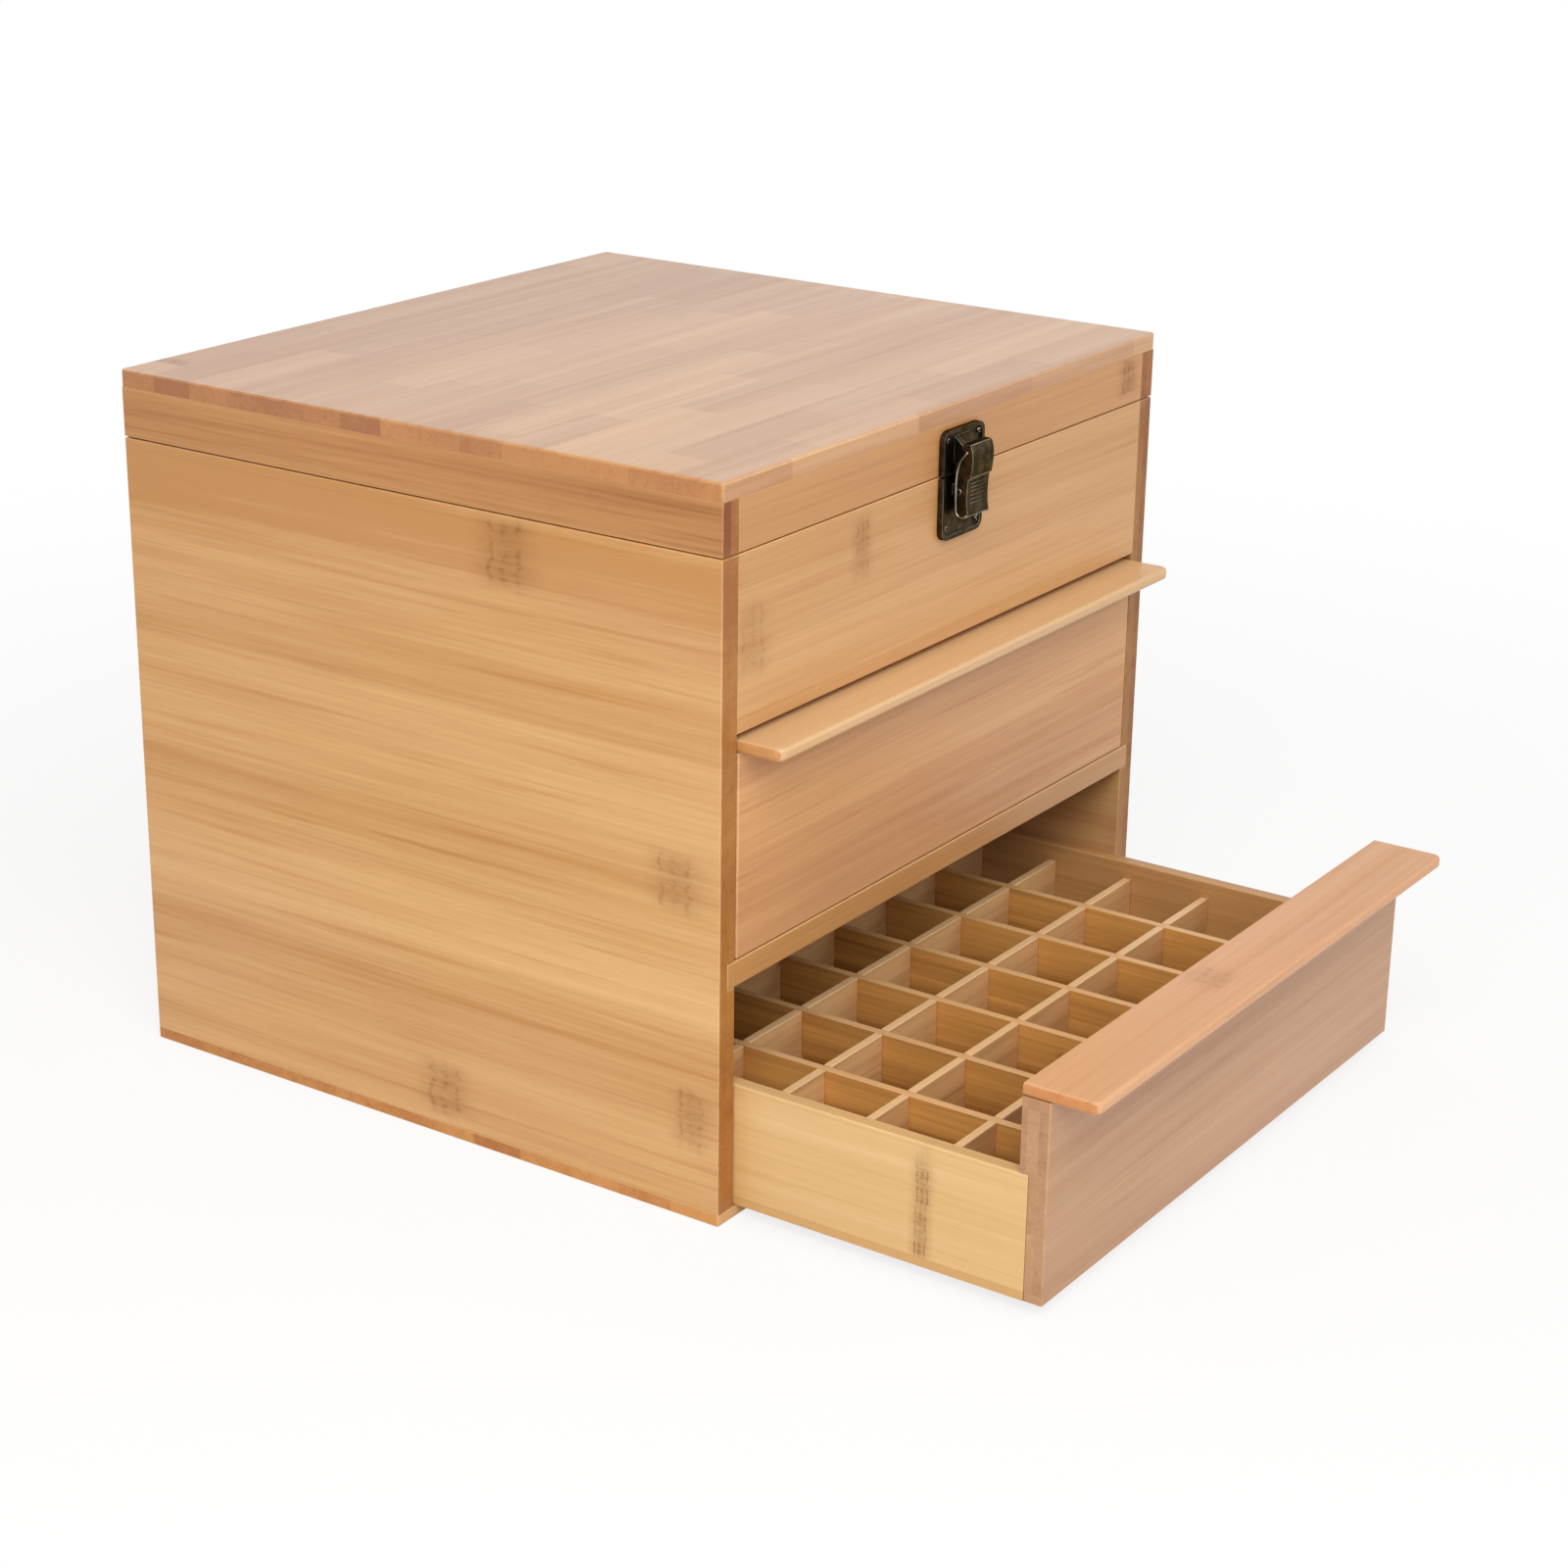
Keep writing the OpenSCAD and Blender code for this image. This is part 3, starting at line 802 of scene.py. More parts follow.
@dataclass
class Board(Piece):
    """One board, with its free edges eased and its glued edges left nearly crisp."""

    ease: float = 0.5
    glued: tuple[Side, ...] = ()
    glued_ease: float = 0.12
    segments: int = 3
    glued_segments: int = 2

    def glued_faces(self, bm: BMesh) -> set[BMFace]:
        """Lists the faces that lie on the board's glued sides."""
        low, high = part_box(self.node)
        found = set()
        for side in self.glued:
            outward = Vector(side.value)
            reach = max(outward.dot(low), outward.dot(high)) - NEAR
            found.update(f for f in bm.faces
                         if f.normal.dot(outward) > 0.9 and outward.dot(f.verts[0].co) > reach)
        return found

    def shape(self) -> BMesh:
        """Eases the free edges well and the glued ones a little."""
        bm = copy_solid(self.node)
        joined = self.glued_faces(bm)
        free = [e for e in sharp_edges(bm) if not joined.intersection(e.link_faces)]
        ease(bm, free, self.ease * MM, self.segments)
        ease(bm, sharp_edges(bm), self.glued_ease * MM, self.glued_segments)
        return bm


@dataclass
class Lip(Piece):
    """A drawer's pull lip, with its front and its ends well rounded."""

    round_over: float = 1.2
    round_under: float = 1.4
    segments: int = 4

    def shape(self) -> BMesh:
        """Rounds the upper and the lower rim, apart from the glued back."""
        bm = copy_solid(self.node)
        low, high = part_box(self.node)
        back = high.y - NEAR
        rims = ((high.z, self.round_over), (low.z, self.round_under))
        for level, radius in rims:
            rim = [e for e in sharp_edges(bm) if self.on_rim(e, level, back)]
            ease(bm, rim, radius * MM, self.segments)
        for face in bm.faces:
            face.smooth = max(abs(c) for c in face.normal) < SAME_WAY
        return bm

    @staticmethod
    def on_rim(edge: BMEdge, level: float, back: float) -> bool:
        """Tells whether an edge lies on the rim at one level, apart from the back."""
        at_level = all(abs(v.co.z - level) < NEAR for v in edge.verts)
        return at_level and any(v.co.y < back for v in edge.verts)


def strip_finish(node: str, seed: float) -> Bamboo:
    """Gives a divider strip's finish with painted light and shade: rows paler than columns, pale tops, deep
    feet.

    Args:
        node: The strip's name.
        seed: What sets its grain apart from the others'.

    Returns:
        The finish.
    """
    low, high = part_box(node)
    # Painted shade deepens each strip towards its foot, and painted light makes it paler at its top
    painted_top_light, painted_foot_shade, fade = 0.3, -0.8, 0.8
    reach = fade * (high.z - low.z) / MM
    bands = (Band(high.z / MM, reach, painted_top_light), Band(low.z / MM, reach, painted_foot_shade))
    # Painted light: rows are paler than columns, and the rim share paints the tops paler as a painted
    # highlight
    if "row" in node:
        return Bamboo(Slot.STRIP, ("#e8ba82", "#ab7844"), Axis.X, Axis.Z, seed=seed, tone_bands=bands,
                      rim_amount=0.85, edge_pale="#efc895")
    return Bamboo(Slot.STRIP, ("#d99e55", "#7d4713"), Axis.Y, Axis.Z, seed=seed, tone_bands=bands,
                  rim_amount=0.7, edge_pale="#e9bf8c")


# The end grain of boards that run from front to back
SIDE_ENDS = {"end_contrast": 0.9, "end_rows": 0.0, "end_tone": "#d2b88c", "ply_shift": 2.0}


@dataclass
class Case(Assembly):
    """The case: its panels, its two floors and the strips of the tray."""

    side_tones: Tones = ("#deb075", "#bb8243")
    # The right panel is given deeper tones than the left as painted shade
    right_shade_tones: Tones = ("#c99e69", "#a8743d")
    front_tones: Tones = ("#d3a36b", "#b88248")
    shelf_tones: Tones = ("#cf9c64", "#b07840")
    inner_tones: Tones = ("#d6a870", "#bb8850")
    ease: float = 0.5
    front_ease: float = 0.35
    inner_ease: float = 0.2
    strip_ease: float = 0.3

    def panel(self, tones: Tones, seed: float, marks: tuple[Mark, ...] = ()) -> Bamboo:
        """Gives the finish of a side panel."""
        bands = (
            Band(206, 30, -0.6), Band(156, 8, -0.14), Band(126, 12, 0.16), Band(108, 11, -0.1),
            Band(71, 15, 0.28), Band(50, 20, -0.04), Band(8, 18, -0.05),
        )
        return Bamboo(Slot.CASE, tones, Axis.Y, Axis.Z, seed=seed, marks=marks, tone_bands=bands,
                      contrast=0.12, bands=0.7, knuckles=0.0, blush=0.14, **SIDE_ENDS)

    def inner(self, across: Axis, seed: float) -> Bamboo:
        """Gives the finish of a board that lies inside, with its grain across the box."""
        return Bamboo(Slot.CASE, self.inner_tones, Axis.X, across, seed=seed)

    def parts(self) -> list[Piece]:
        """Lists the case's boards and their finishes."""
        side_marks = (
            Mark(-40, 204, 8, 11.5), Mark(-104, 112, 7, 10, 0.7), Mark(-11, 17, 7.5, 10, 0.8),
            Mark(-110, 34, 5.5, 10, 0.7),
        )
        left = self.panel(self.side_tones, 2.0, side_marks)
        right = self.panel(self.right_shade_tones, 3.0)
        front_marks = (Mark(-56, 204, 4, 11, 0.8), Mark(-115, 188, 7, 12, 0.5))
        front = Bamboo(Slot.FRONT, self.front_tones, Axis.X, Axis.Z, seed=4.0,
                       marks=front_marks, knuckles=0.0, blush=0.1, contrast=0.25, bands=0.8)
        bottom = Bamboo(Slot.CASE, self.side_tones, Axis.X, Axis.Y, seed=6.0, end_contrast=0.9)
        shelf = Bamboo(Slot.CASE, self.shelf_tones, Axis.X, Axis.Y, seed=7.0)
        boards = [
            Board("left_side_panel", left, self.ease, (Side.BELOW,)),
            Board("right_side_panel", right, self.ease, (Side.BELOW,)),
            Board("bottom_board", bottom, self.ease, (Side.ABOVE,)),
            Board("back_panel", self.inner(Axis.Z, 5.0), self.inner_ease, (Side.LEFT, Side.RIGHT)),
            Board("drawer_shelf", shelf, self.ease),
            Board("tray_floor", self.inner(Axis.Y, 8.0), self.inner_ease),
            Board("upper_front_panel", front, self.front_ease, (Side.LEFT, Side.RIGHT)),
        ]
        for node, seed in (("tray_row_strips", 9.0), ("tray_column_strips", 10.0)):
            boards.append(Board(node, strip_finish(node, seed), self.strip_ease, segments=2))
        return boards


@dataclass
class Lid(Assembly):
    """The lid: a top board on four rails."""

    top_tones: Tones = ("#cf9d68", "#ac7441")
    side_tones: Tones = ("#c58e55", "#9c6230")
    front_tones: Tones = ("#cb9760", "#b57d48")
    top_ease: float = 0.9
    rail_ease: float = 0.35

    def parts(self) -> list[Piece]:
        """Lists the lid's boards and their finishes."""
        # The top's bands paint it deeper towards the back and paler at the front, as painted shade and
        # painted light
        top = Bamboo(Slot.TOP, self.top_tones, Axis.X, Axis.Y, seed=11.0, lamella=16, stave=70, ply=20,
                     contrast=0.6, end_contrast=1.3, end_tone="#e6cca8", knuckles=0.03, blush=0.12,
                     coat=0.7, tone_bands=(Band(110, 130, -0.3), Band(-60, 60, 0.12)))
        boards = [Board("lid_top_board", top, self.top_ease, (Side.BELOW,))]
        knot = (Mark(112, 226, 4.5, 7),)
        for node, seed in (("lid_left_rail", 12.0), ("lid_right_rail", 13.0)):
            finish = Bamboo(Slot.CASE, self.side_tones, Axis.Y, Axis.Z, seed=seed, streaks=1.5,
                            knuckles=0.0, **SIDE_ENDS)
            boards.append(Board(node, finish, self.rail_ease, (Side.ABOVE,)))
        for node, seed, marks in (("lid_front_rail", 14.0, knot), ("lid_back_rail", 15.0, ())):
            finish = Bamboo(Slot.CASE, self.front_tones, Axis.X, Axis.Z, seed=seed, marks=marks,
                            knuckles=0.0)
            boards.append(Board(node, finish, self.rail_ease, (Side.ABOVE, Side.LEFT, Side.RIGHT)))
        return boards


@dataclass
class Drawer(Assembly):
    """A drawer: front, lip, two sides, back, bottom and crossing strips."""

    name: str
    seed: float
    strip_nodes: tuple[str, ...]
    side_marks: tuple[Mark, ...] = ()
    lip_marks: tuple[Mark, ...] = ()
    front_bands: tuple[Band, ...] = ()
    front_streaks: float = 1.0
    front_tones: Tones = ("#c3956d", "#a17147")
    lip_tones: Tones = ("#e2ae7f", "#c88e60")
    side_tones: Tones = ("#e5bf87", "#d0a468")
    # Painted shade: the right side, the back and the bottom are given deeper tones than the left side
    right_shade_tones: Tones = ("#cf9f68", "#b5834c")
    floor_shade_tones: Tones = ("#b27a3c", "#8c521c")
    front_ease: float = 0.5
    side_ease: float = 0.45
    bottom_ease: float = 0.3
    strip_ease: float = 0.3
    strip_step: float = 0.37

    def finish(self, slot: Slot, tones: Tones, grain: Axis, across: Axis, step: float,
               **changes: object) -> Bamboo:
        """Gives the finish of one of the drawer's boards.

        Args:
            slot: The record's material slot.
            tones: The pale and the deep colour.
            grain: The direction of the grain.
            across: The direction across the lamellae.
            step: What sets this board's grain apart from the others'.
            changes: Other values of the finish.

        Returns:
            The finish.
        """
        return Bamboo(slot, tones, grain, across, seed=self.seed + step, **changes)

    def parts(self) -> list[Piece]:
        """Lists the drawer's boards and their finishes."""
        front = self.finish(Slot.FRONT, self.front_tones, Axis.X, Axis.Z, 0.1, knuckles=0.0, contrast=0.2,
                            streaks=self.front_streaks, blush=0.22, end_tone="#ffffff", coat=0.2,
                            tone_bands=self.front_bands)
        lip = self.finish(Slot.FRONT, self.lip_tones, Axis.X, Axis.Y, 0.2, knuckles=0.0, contrast=0.2,
                          marks=self.lip_marks, edge_amount=0.0)
        left = self.finish(Slot.DRAWER, self.side_tones, Axis.Y, Axis.Z, 0.3, knuckles=0.0, contrast=0.15,
                           bands=0.6, marks=self.side_marks)
        right = self.finish(Slot.DRAWER, self.right_shade_tones, Axis.Y, Axis.Z, 0.4)
        back = self.finish(Slot.DRAWER, self.floor_shade_tones, Axis.X, Axis.Z, 0.5)
        bottom = self.finish(Slot.DRAWER, self.floor_shade_tones, Axis.Y, Axis.X, 0.6,
                             edge_pale=self.side_tones[1], rim_amount=0.9)
        boards = [
            Board(self.name + "_front", front, self.front_ease, (Side.ABOVE, Side.BACK)),
            Lip(self.name + "_lip", lip),
            Board(self.name + "_left_side", left, self.side_ease, (Side.BELOW, Side.FRONT)),
            Board(self.name + "_right_side", right, self.side_ease, (Side.BELOW, Side.FRONT)),
            Board(self.name + "_back", back, self.side_ease, (Side.BELOW, Side.LEFT, Side.RIGHT)),
            Board(self.name + "_bottom", bottom, self.bottom_ease, (Side.ABOVE, Side.FRONT)),
        ]
        for number, node in enumerate(self.strip_nodes):
            strip = strip_finish(node, self.seed + 1.0 + self.strip_step * number)
            boards.append(Board(node, strip, self.strip_ease, segments=2))
        return boards


def shade_curves(bm: BMesh, least: float = 35.0) -> None:
    """Shades eased edges and curved surfaces smoothly, and leaves flat surfaces flat.

    Args:
        bm: The mesh.
        least: Edges sharper than this angle, in degrees, stay crisp.
    """
    crisp = set(sharp_edges(bm, least))
    for edge in bm.edges:
        edge.smooth = edge not in crisp
    for face in bm.faces:
        face.smooth = True
    for group in flat_groups(bm):
        first = group[0].normal.copy()
        if all(f.normal.dot(first) > SAME_WAY for f in group):
            for face in group:
                face.smooth = False


def flat_groups(bm: BMesh) -> list[list[BMFace]]:
    """Gathers the faces between eased edges into groups that touch.

    Args:
        bm: The mesh.

    Returns:
        The groups.
    """
    layer = bm.loops.layers.float_color[EDGE_LAYER]
    waiting = {f for f in bm.faces if min(loop[layer].x for loop in f.loops) < 0.5}
    groups = []
    while waiting:
        group = [waiting.pop()]
        for face in group:
            beside = {f for e in face.edges for f in e.link_faces} & waiting
            waiting -= beside
            group.extend(beside)
        groups.append(group)
    return groups


def rub_rims(bm: BMesh, width: float, least_area: float = 8e-6, most: float = 0.9) -> None:
    """Lets the bare metal of the edges fade out over a rim round each large surface.

    Args:
        bm: The mesh.
        width: The rim's width in metres.
        least_area: Surfaces below this area, in square metres, are left alone.
        most: How bare the rim is at its outer edge.
    """
    layer = bm.loops.layers.float_color[EDGE_LAYER]
    large = [g for g in flat_groups(bm) if sum(f.calc_area() for f in g) > least_area]
    for group in large:
        made = bmesh.ops.inset_region(bm, faces=group, thickness=width, use_boundary=True,
                                      use_even_offset=True)
        inside = set(made["faces"]).union(group)
        for face in made["faces"]:
            for loop in face.loops:
                bare = 0.0 if inside.issuperset(loop.vert.link_faces) else most
                loop[layer] = (bare, bare, bare, 1.0)


@dataclass
class MetalPart(Piece):
    """A metal piece, with its edges eased and rubbed bare."""

    ease: float = 0.2
    rim: float = 0.0
    least_angle: float = 30.0

    def shape(self) -> BMesh:
        """Builds the mesh and shades its curves."""
        bm = self.eased()
        shade_curves(bm)
        return bm

    def eased(self) -> BMesh:
        """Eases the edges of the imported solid."""
        bm = copy_solid(self.node)
        ease(bm, sharp_edges(bm, self.least_angle), self.ease * MM)
        bmesh.ops.dissolve_degenerate(bm, dist=MICRON, edges=bm.edges)
        if self.rim:
            rub_rims(bm, self.rim * MM)
            bmesh.ops.dissolve_degenerate(bm, dist=MICRON, edges=bm.edges)
        return bm


@dataclass
class LeafSpring(MetalPart):
    """The latch's leaf spring: its foot lies on the plate, and its free leg is cut across into short
    lengths.
    """

    rides: ClassVar[bool] = False
    lever: str = "latch_lever"
    foot_share: float = 0.63
    bends: int = 6

    def leg(self) -> tuple[Vector, Vector]:
        """Gives the points where the free leg starts and ends."""
        low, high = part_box(self.node)
        start = high.z + (low.z - high.z) * self.foot_share
        return Vector((0.0, high.y, start)), Vector((0.0, low.y, low.z))

    def eased(self) -> BMesh:
        """Eases the spring's edges and cuts its leg across, so that it can bend."""
        bm = super().eased()
        start, end = self.leg()
        for number in range(self.bends):
            place = start.lerp(end, number / self.bends)
            parts = [*bm.verts, *bm.edges, *bm.faces]
            bmesh.ops.bisect_plane(bm, geom=parts, plane_co=place, plane_no=(0, 0, 1), dist=MICRON)
        return bm

    def build(self) -> Object:
        """Builds and dresses the spring, and bakes its place into its mesh.

        Returns:
            The new piece.
        """
        piece = super().build()
        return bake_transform(piece)


@dataclass
class Screws(MetalPart):
    """Small screws with a slot across each head."""

    outward: Side = Side.FRONT
    slot_half: float = 0.16
    slot_depth: float = 0.3
    head_reach: float = 2.0

    def eased(self) -> BMesh:
        """Eases the screws' edges and sinks a slot into the flat top of each head."""
        bm = super().eased()
        outward = Vector(self.outward.value)
        middles = [f.calc_center_median() for f in self.tops(bm)]
        for middle in middles:
            for side in (-1, 1):
                self.cut(bm, middle + Vector((0, 0, side * self.slot_half * MM)))
        within = 0.5 * self.slot_half * MM
        slots = [f for f in self.tops(bm)
                 if min(abs(f.calc_center_median().z - m.z) for m in middles) < within]
        for face in slots:
            floor = bmesh.ops.extrude_discrete_faces(bm, faces=[face])["faces"]
            bmesh.ops.translate(bm, vec=outward * -self.slot_depth * MM, verts=floor[0].verts)
        return bm

    def tops(self, bm: BMesh) -> list[BMFace]:
        """Lists the flat faces on top of the heads."""
        outward = Vector(self.outward.value)
        reach = max(outward.dot(v.co) for v in bm.verts) - NEAR
        level = [f for f in bm.faces if f.normal.dot(outward) > SAME_WAY]
        return [f for f in level if min(outward.dot(v.co) for v in f.verts) > reach]

    def cut(self, bm: BMesh, place: Vector) -> None:
        """Cuts the flat top of the head near a place along a level line."""
        near = [f for f in self.tops(bm) if (f.calc_center_median() - place).length < self.head_reach * MM]
        parts = near + [e for f in near for e in f.edges] + [v for f in near for v in f.verts]
        bmesh.ops.bisect_plane(bm, geom=list(dict.fromkeys(parts)), plane_co=place, plane_no=(0, 0, 1),
                               dist=MICRON)


@dataclass
class LeverDetail(Piece):
    """Base of the fine forms that are laid on the latch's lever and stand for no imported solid."""

    node: str = "latch_lever"
    finish: AgedMetal = BRONZE
    name: ClassVar[str] = ""

    def build(self) -> Object:
        """Builds and dresses the detail.

        Returns:
            The new piece.
        """
        return place_piece(self.shape(), "latch_" + self.name, BODY_OF[self.node],
                           self.finish.material(self.name))


@dataclass
class GripRibs(LeverDetail):
    """Fine ribs across the lower half of the latch's lever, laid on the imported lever's front."""

    name: ClassVar[str] = "grip_ribs"
    count: int = 6
    half_width: float = 4.9
    top_below: float = 12.9
    pitch: float = 1.3
    radius: float = 0.32
    sides: int = 10
    crest_bare: float = 0.25
    ray_start: float = 20.0

    def shape(self) -> BMesh:
        """Lays the ribs where level lines from the front meet the lever."""
        solid = bmesh.new()
        solid.from_mesh(frame["nodes"][self.node].data)
        surface = BVHTree.FromBMesh(solid)
        low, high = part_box(self.node)
        bm = bmesh.new()
        bm.loops.layers.float_color.new(EDGE_LAYER)
        for number in range(self.count):
            height = high.z - (self.top_below + number * self.pitch) * MM
            start = Vector((0.0, low.y - self.ray_start * MM, height))
            hit = surface.ray_cast(start, Vector((0, 1, 0)))[0]
            if hit is not None:
                self.rib(bm, hit)
        solid.free()
        for face in bm.faces:
            face.smooth = True
            rub(bm, [face], max(0.0, -face.normal.y) ** 3 * self.crest_bare)
        return bm

    def rib(self, bm: BMesh, place: Vector) -> None:
        """Lays one rib with domed ends, half sunk in the lever."""
        length = 2 * (self.half_width - self.radius) * MM
        made = bmesh.ops.create_uvsphere(bm, u_segments=self.sides, v_segments=self.sides,
                                         radius=self.radius * MM)
        turn = Matrix.Rotation(math.radians(90), 4, "Y")
        bmesh.ops.transform(bm, matrix=turn, verts=made["verts"])
        for vert in made["verts"]:
            vert.co.x += math.copysign(length / 2, vert.co.x) if abs(vert.co.x) > MICRON else 0.0
        bmesh.ops.translate(bm, vec=place, verts=made["verts"])


@dataclass
class LeverRim(LeverDetail):
    """The rolled rim along the back and the foot of each of the lever's cheeks.

    The path holds millimetres forward of the lever's back and below its top.
    """

    name: ClassVar[str] = "lever_rims"
    path: tuple[tuple[float, float], ...] = (
        (4.5, 2.3), (0.45, 7.4), (0.45, 21.6), (1.1, 23.6), (2.6, 24.25), (4.9, 23.3),
    )
    radius: float = 0.52
    end_share: float = 0.55
    stand_off: float = 0.12
    sides: int = 12
    bare: float = 1.0

    def shape(self) -> BMesh:
        """Draws both rims."""
        low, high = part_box(self.node)
        bm = bmesh.new()
        bm.loops.layers.float_color.new(EDGE_LAYER)
        line = self.softened(self.softened(list(self.path)))
        for x in (low.x + self.stand_off * MM, high.x - self.stand_off * MM):
            self.tube(bm, [Vector((x, high.y - out * MM, high.z - down * MM)) for out, down in line])
        rub(bm, bm.faces, self.bare)
        for face in bm.faces:
            face.smooth = True
        return bm

    @staticmethod
    def softened(line: list[tuple[float, float]]) -> list[tuple[float, float]]:
        """Cuts the corners of a line and keeps its ends."""
        made = [line[0]]
        for (ax, ay), (bx, by) in zip(line, line[1:]):
            made.append((ax * 0.75 + bx * 0.25, ay * 0.75 + by * 0.25))
            made.append((ax * 0.25 + bx * 0.75, ay * 0.25 + by * 0.75))
        return made + [line[-1]]

    def tube(self, bm: BMesh, line: list[Vector]) -> None:
        """Draws a round bar with closed ends along a line in one upright plane."""
        stations = [self.station(line, i) for i in range(len(line))]
        disc = bmesh.ops.create_circle(bm, cap_ends=True, segments=self.sides, radius=1.0,
                                       matrix=stations[0])
        first = end = disc["verts"][0].link_faces[0]
        for before, after in zip(stations, stations[1:]):
            grown = bmesh.ops.extrude_face_region(bm, geom=[end])["geom"]
            if end is not first:
                bmesh.ops.delete(bm, geom=[end], context="FACES_ONLY")
            end = next(part for part in grown if isinstance(part, BMFace))
            bmesh.ops.transform(bm, matrix=after @ before.inverted(), verts=end.verts)
        bmesh.ops.recalc_face_normals(bm, faces=bm.faces)

    def station(self, line: list[Vector], number: int) -> Matrix:
        """Gives the place, the turn and the radius of the bar at one point of a line.

        Args:
            line: The line's points.
            number: Which point.

        Returns:
            The matrix that puts a disc of radius 1 there.
        """
        last = len(line) - 1
        aside = Vector((1, 0, 0))
        ahead = (line[min(number + 1, last)] - line[max(number - 1, 0)]).normalized()
        radius = self.radius * MM * (self.end_share if number in (0, last) else 1.0)
        turned = Matrix((aside, aside.cross(ahead), ahead)).transposed().to_4x4()
        return Matrix.Translation(line[number]) @ turned @ Matrix.Scale(radius, 4)


@dataclass
class Hardware(Assembly):
    """The press latch on the front and the two hinges at the back."""

    plate_ease: float = 0.3
    lever_ease: float = 0.35
    lever_rim: float = 0.3
    leaf_ease: float = 0.25
    spring_ease: float = 0.08
    pin_ease: float = 0.2
    screw_ease: float = 0.12

    def parts(self) -> list[Piece]:
        """Lists the pieces of the latch and of the hinges."""
        parts = [
            MetalPart("latch_base_plate", BRONZE, self.plate_ease),
            MetalPart("latch_keeper_plate", BRONZE, self.plate_ease),
            MetalPart("latch_lever", BRONZE, self.lever_ease, self.lever_rim),
            MetalPart("latch_pin", BRONZE, self.pin_ease),
            LeafSpring("latch_spring", SPRING_STEEL, self.spring_ease),
            Screws("latch_base_screws", BRONZE, self.screw_ease),
            Screws("latch_keeper_screws", BRONZE, self.screw_ease),
            Screws("hinge_body_screws", HINGE_BRONZE, self.screw_ease, outward=Side.BACK),
            Screws("hinge_lid_screws", HINGE_BRONZE, self.screw_ease, outward=Side.BACK),
            GripRibs(),
            LeverRim(),
        ]
        for side in ("left", "right"):
            parts.append(MetalPart(f"{side}_hinge_body_leaf", HINGE_BRONZE, self.leaf_ease))
            parts.append(MetalPart(f"{side}_hinge_lid_leaf", HINGE_BRONZE, self.leaf_ease))
            parts.append(MetalPart(f"{side}_hinge_pin", HINGE_BRONZE, self.pin_ease))
        return parts


@dataclass(frozen=True)
class Lamp:
    """A large soft lamp: where it hangs in metres, the side of its square and its power in watts."""

    name: str
    place: Point
    size: float
    power: float

    def build(self, aim: Point) -> Object:
        """Hangs the lamp so that it faces a point, and gives it."""
        data = bpy.data.lights.new(self.name, "AREA")
        data.size = self.size
        data.energy = self.power
        lamp = bpy.data.objects.new(self.name, data)
        lamp.location = self.place
        lamp.rotation_euler = (Vector(aim) - lamp.location).to_track_quat("-Z", "Y").to_euler()
        bpy.context.scene.collection.objects.link(lamp)
        return lamp


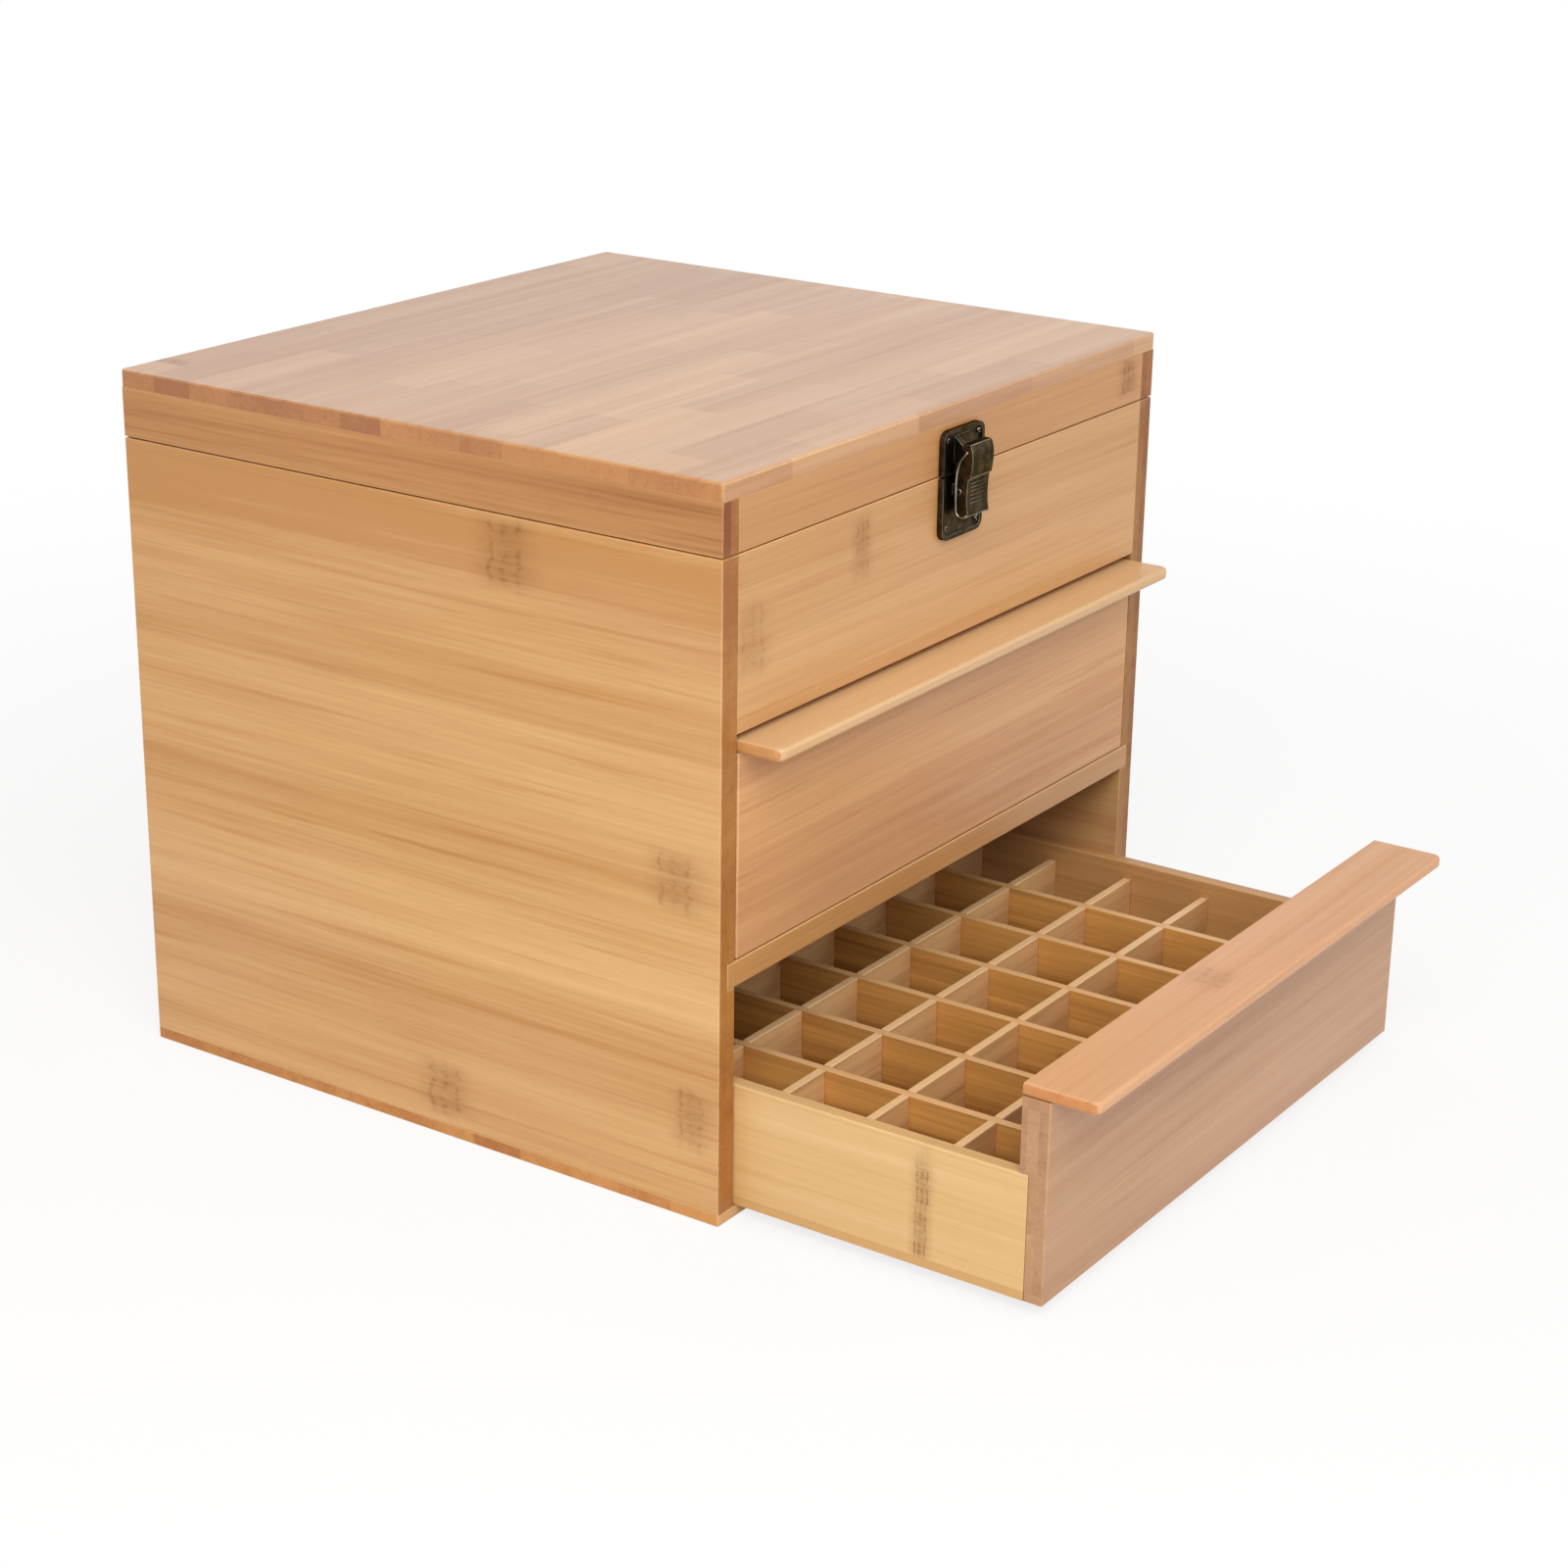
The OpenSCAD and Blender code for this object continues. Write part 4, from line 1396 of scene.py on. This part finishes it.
@dataclass
class Studio:
    """The floor, the lamps, the sky and the camera."""

    eye: Point = (-0.8516, -0.6314, 0.4719)
    azimuth: float = -55.904
    elevation: float = 20.141
    roll: float = 0.848
    lens: float = 73.078
    sensor: float = 36.0
    floor_half: float = 6.0
    floor_colour: str = "#f4f3f1"
    floor_rough: float = 0.8
    floor_glow: float = 0.8
    glow_near: float = 0.3
    glow_far: float = 0.85
    sky_light: float = 0.45
    aim: Point = (0.0, -0.05, 0.12)
    lamps: tuple[Lamp, ...] = (
        Lamp("key_lamp", (-0.85, -0.7, 1.0), 0.9, 14.4),
        Lamp("fill_lamp", (1.0, -1.4, 0.9), 1.2, 5.4),
        Lamp("back_lamp", (0.1, 1.6, 0.9), 1.2, 4.5),
    )

    def camera(self) -> Object:
        """Makes the camera at the photograph's viewpoint.

        Returns:
            The camera.
        """
        turn, tilt, lean = (math.radians(a) for a in (self.azimuth, self.elevation, self.roll))
        ahead = Vector((-math.sin(turn) * math.cos(tilt), math.cos(turn) * math.cos(tilt), -math.sin(tilt)))
        level = ahead.cross(Vector((0, 0, 1))).normalized()
        upward = level.cross(ahead)
        right = level * math.cos(lean) + upward * math.sin(lean)
        top = upward * math.cos(lean) - level * math.sin(lean)
        data = bpy.data.cameras.new("photo_camera")
        data.lens = self.lens
        data.sensor_width = self.sensor
        camera = bpy.data.objects.new("photo_camera", data)
        turned = Matrix((right, top, -ahead)).transposed().to_4x4()
        camera.matrix_world = Matrix.Translation(self.eye) @ turned
        bpy.context.scene.collection.objects.link(camera)
        bpy.context.scene.camera = camera
        return camera

    def floor(self) -> Object:
        """Makes the pale floor, which keeps a soft shadow.

        Returns:
            The floor.
        """
        bm = bmesh.new()
        bmesh.ops.create_grid(bm, x_segments=1, y_segments=1, size=self.floor_half)
        mesh = bpy.data.meshes.new("studio_floor")
        bm.to_mesh(mesh)
        bm.free()
        material, tree, shader = new_material("pale_floor")
        shader.inputs["Base Color"].default_value = linear(self.floor_colour)
        shader.inputs["Roughness"].default_value = self.floor_rough
        glow = tree.add("ShaderNodeEmission", {"Color": WHITE, "Strength": 1.0})
        place = tree.add("ShaderNodeTexCoord").outputs["Object"]
        away = tree.add("ShaderNodeVectorMath", {0: place}, operation="LENGTH").outputs["Value"]
        white = tree.ramp(away, self.glow_near, self.glow_far, self.floor_glow, 1.0)
        share = tree.product(self.seen(tree), white)
        mixed = tree.add("ShaderNodeMixShader", {0: share, 1: shader.outputs[0], 2: glow.outputs[0]})
        output = next(n for n in tree.tree.nodes if n.type == "OUTPUT_MATERIAL")
        tree.feed(output.inputs["Surface"], mixed.outputs[0])
        mesh.materials.append(material)
        floor = bpy.data.objects.new("studio_floor", mesh)
        bpy.context.scene.collection.objects.link(floor)
        return floor

    @staticmethod
    def seen(tree: Tree) -> Socket:
        """Gives 1 for what the camera sees, directly or mirrored."""
        path = tree.add("ShaderNodeLightPath").outputs
        return tree.highest(path["Is Camera Ray"], path["Is Glossy Ray"])

    def sky(self) -> None:
        """Makes a white sky that lights the object softly."""
        world = bpy.data.worlds.new("studio_sky")
        world.use_nodes = True
        world.node_tree.nodes.clear()
        tree = Tree(world.node_tree)
        light = tree.add("ShaderNodeBackground", {"Color": WHITE, "Strength": self.sky_light})
        white = tree.add("ShaderNodeBackground", {"Color": WHITE, "Strength": 1.0})
        mixed = tree.add("ShaderNodeMixShader",
                         {0: self.seen(tree), 1: light.outputs[0], 2: white.outputs[0]})
        tree.add("ShaderNodeOutputWorld", {"Surface": mixed.outputs[0]})
        bpy.context.scene.world = world

    def build(self) -> None:
        """Builds the studio."""
        bpy.context.scene.view_settings.view_transform = "Standard"
        self.camera()
        self.floor()
        self.sky()
        for lamp in self.lamps:
            lamp.build(self.aim)


def strip_names(drawer: str, count: int) -> tuple[str, ...]:
    """Names a drawer's separate strips, rows first."""
    kinds = ("row", "column")
    return tuple(f"{drawer}_{kind}_strip_{i}" for kind in kinds for i in range(1, count + 1))


def main() -> None:
    """Builds the studio and every sub-assembly."""
    logging.basicConfig(level=logging.INFO, format="%(message)s")
    Studio().build()
    strips_each_way = 6
    # The upper front's band at 152 mm is a painted shadow under the lip
    upper = Drawer("upper_drawer", 20.0, ("upper_drawer_row_strips", "upper_drawer_column_strips"),
                   front_tones=("#e0ab71", "#c38854"), lip_tones=("#dcb584", "#cea070"), front_streaks=1.5,
                   front_bands=(Band(152, 10, -0.3), Band(126, 14, 0.1), Band(103, 7, -0.3)))
    lower = Drawer("lower_drawer", 30.0, strip_names("lower_drawer", strips_each_way),
                   side_marks=(Mark(-189, 24, 2.6, 20),),
                   lip_marks=(Mark(-21, -231, 7, 8, 0.4),))
    for assembly in (Case(), Lid(), upper, lower, Hardware()):
        assembly.build()


if __name__ == "__main__":
    main()
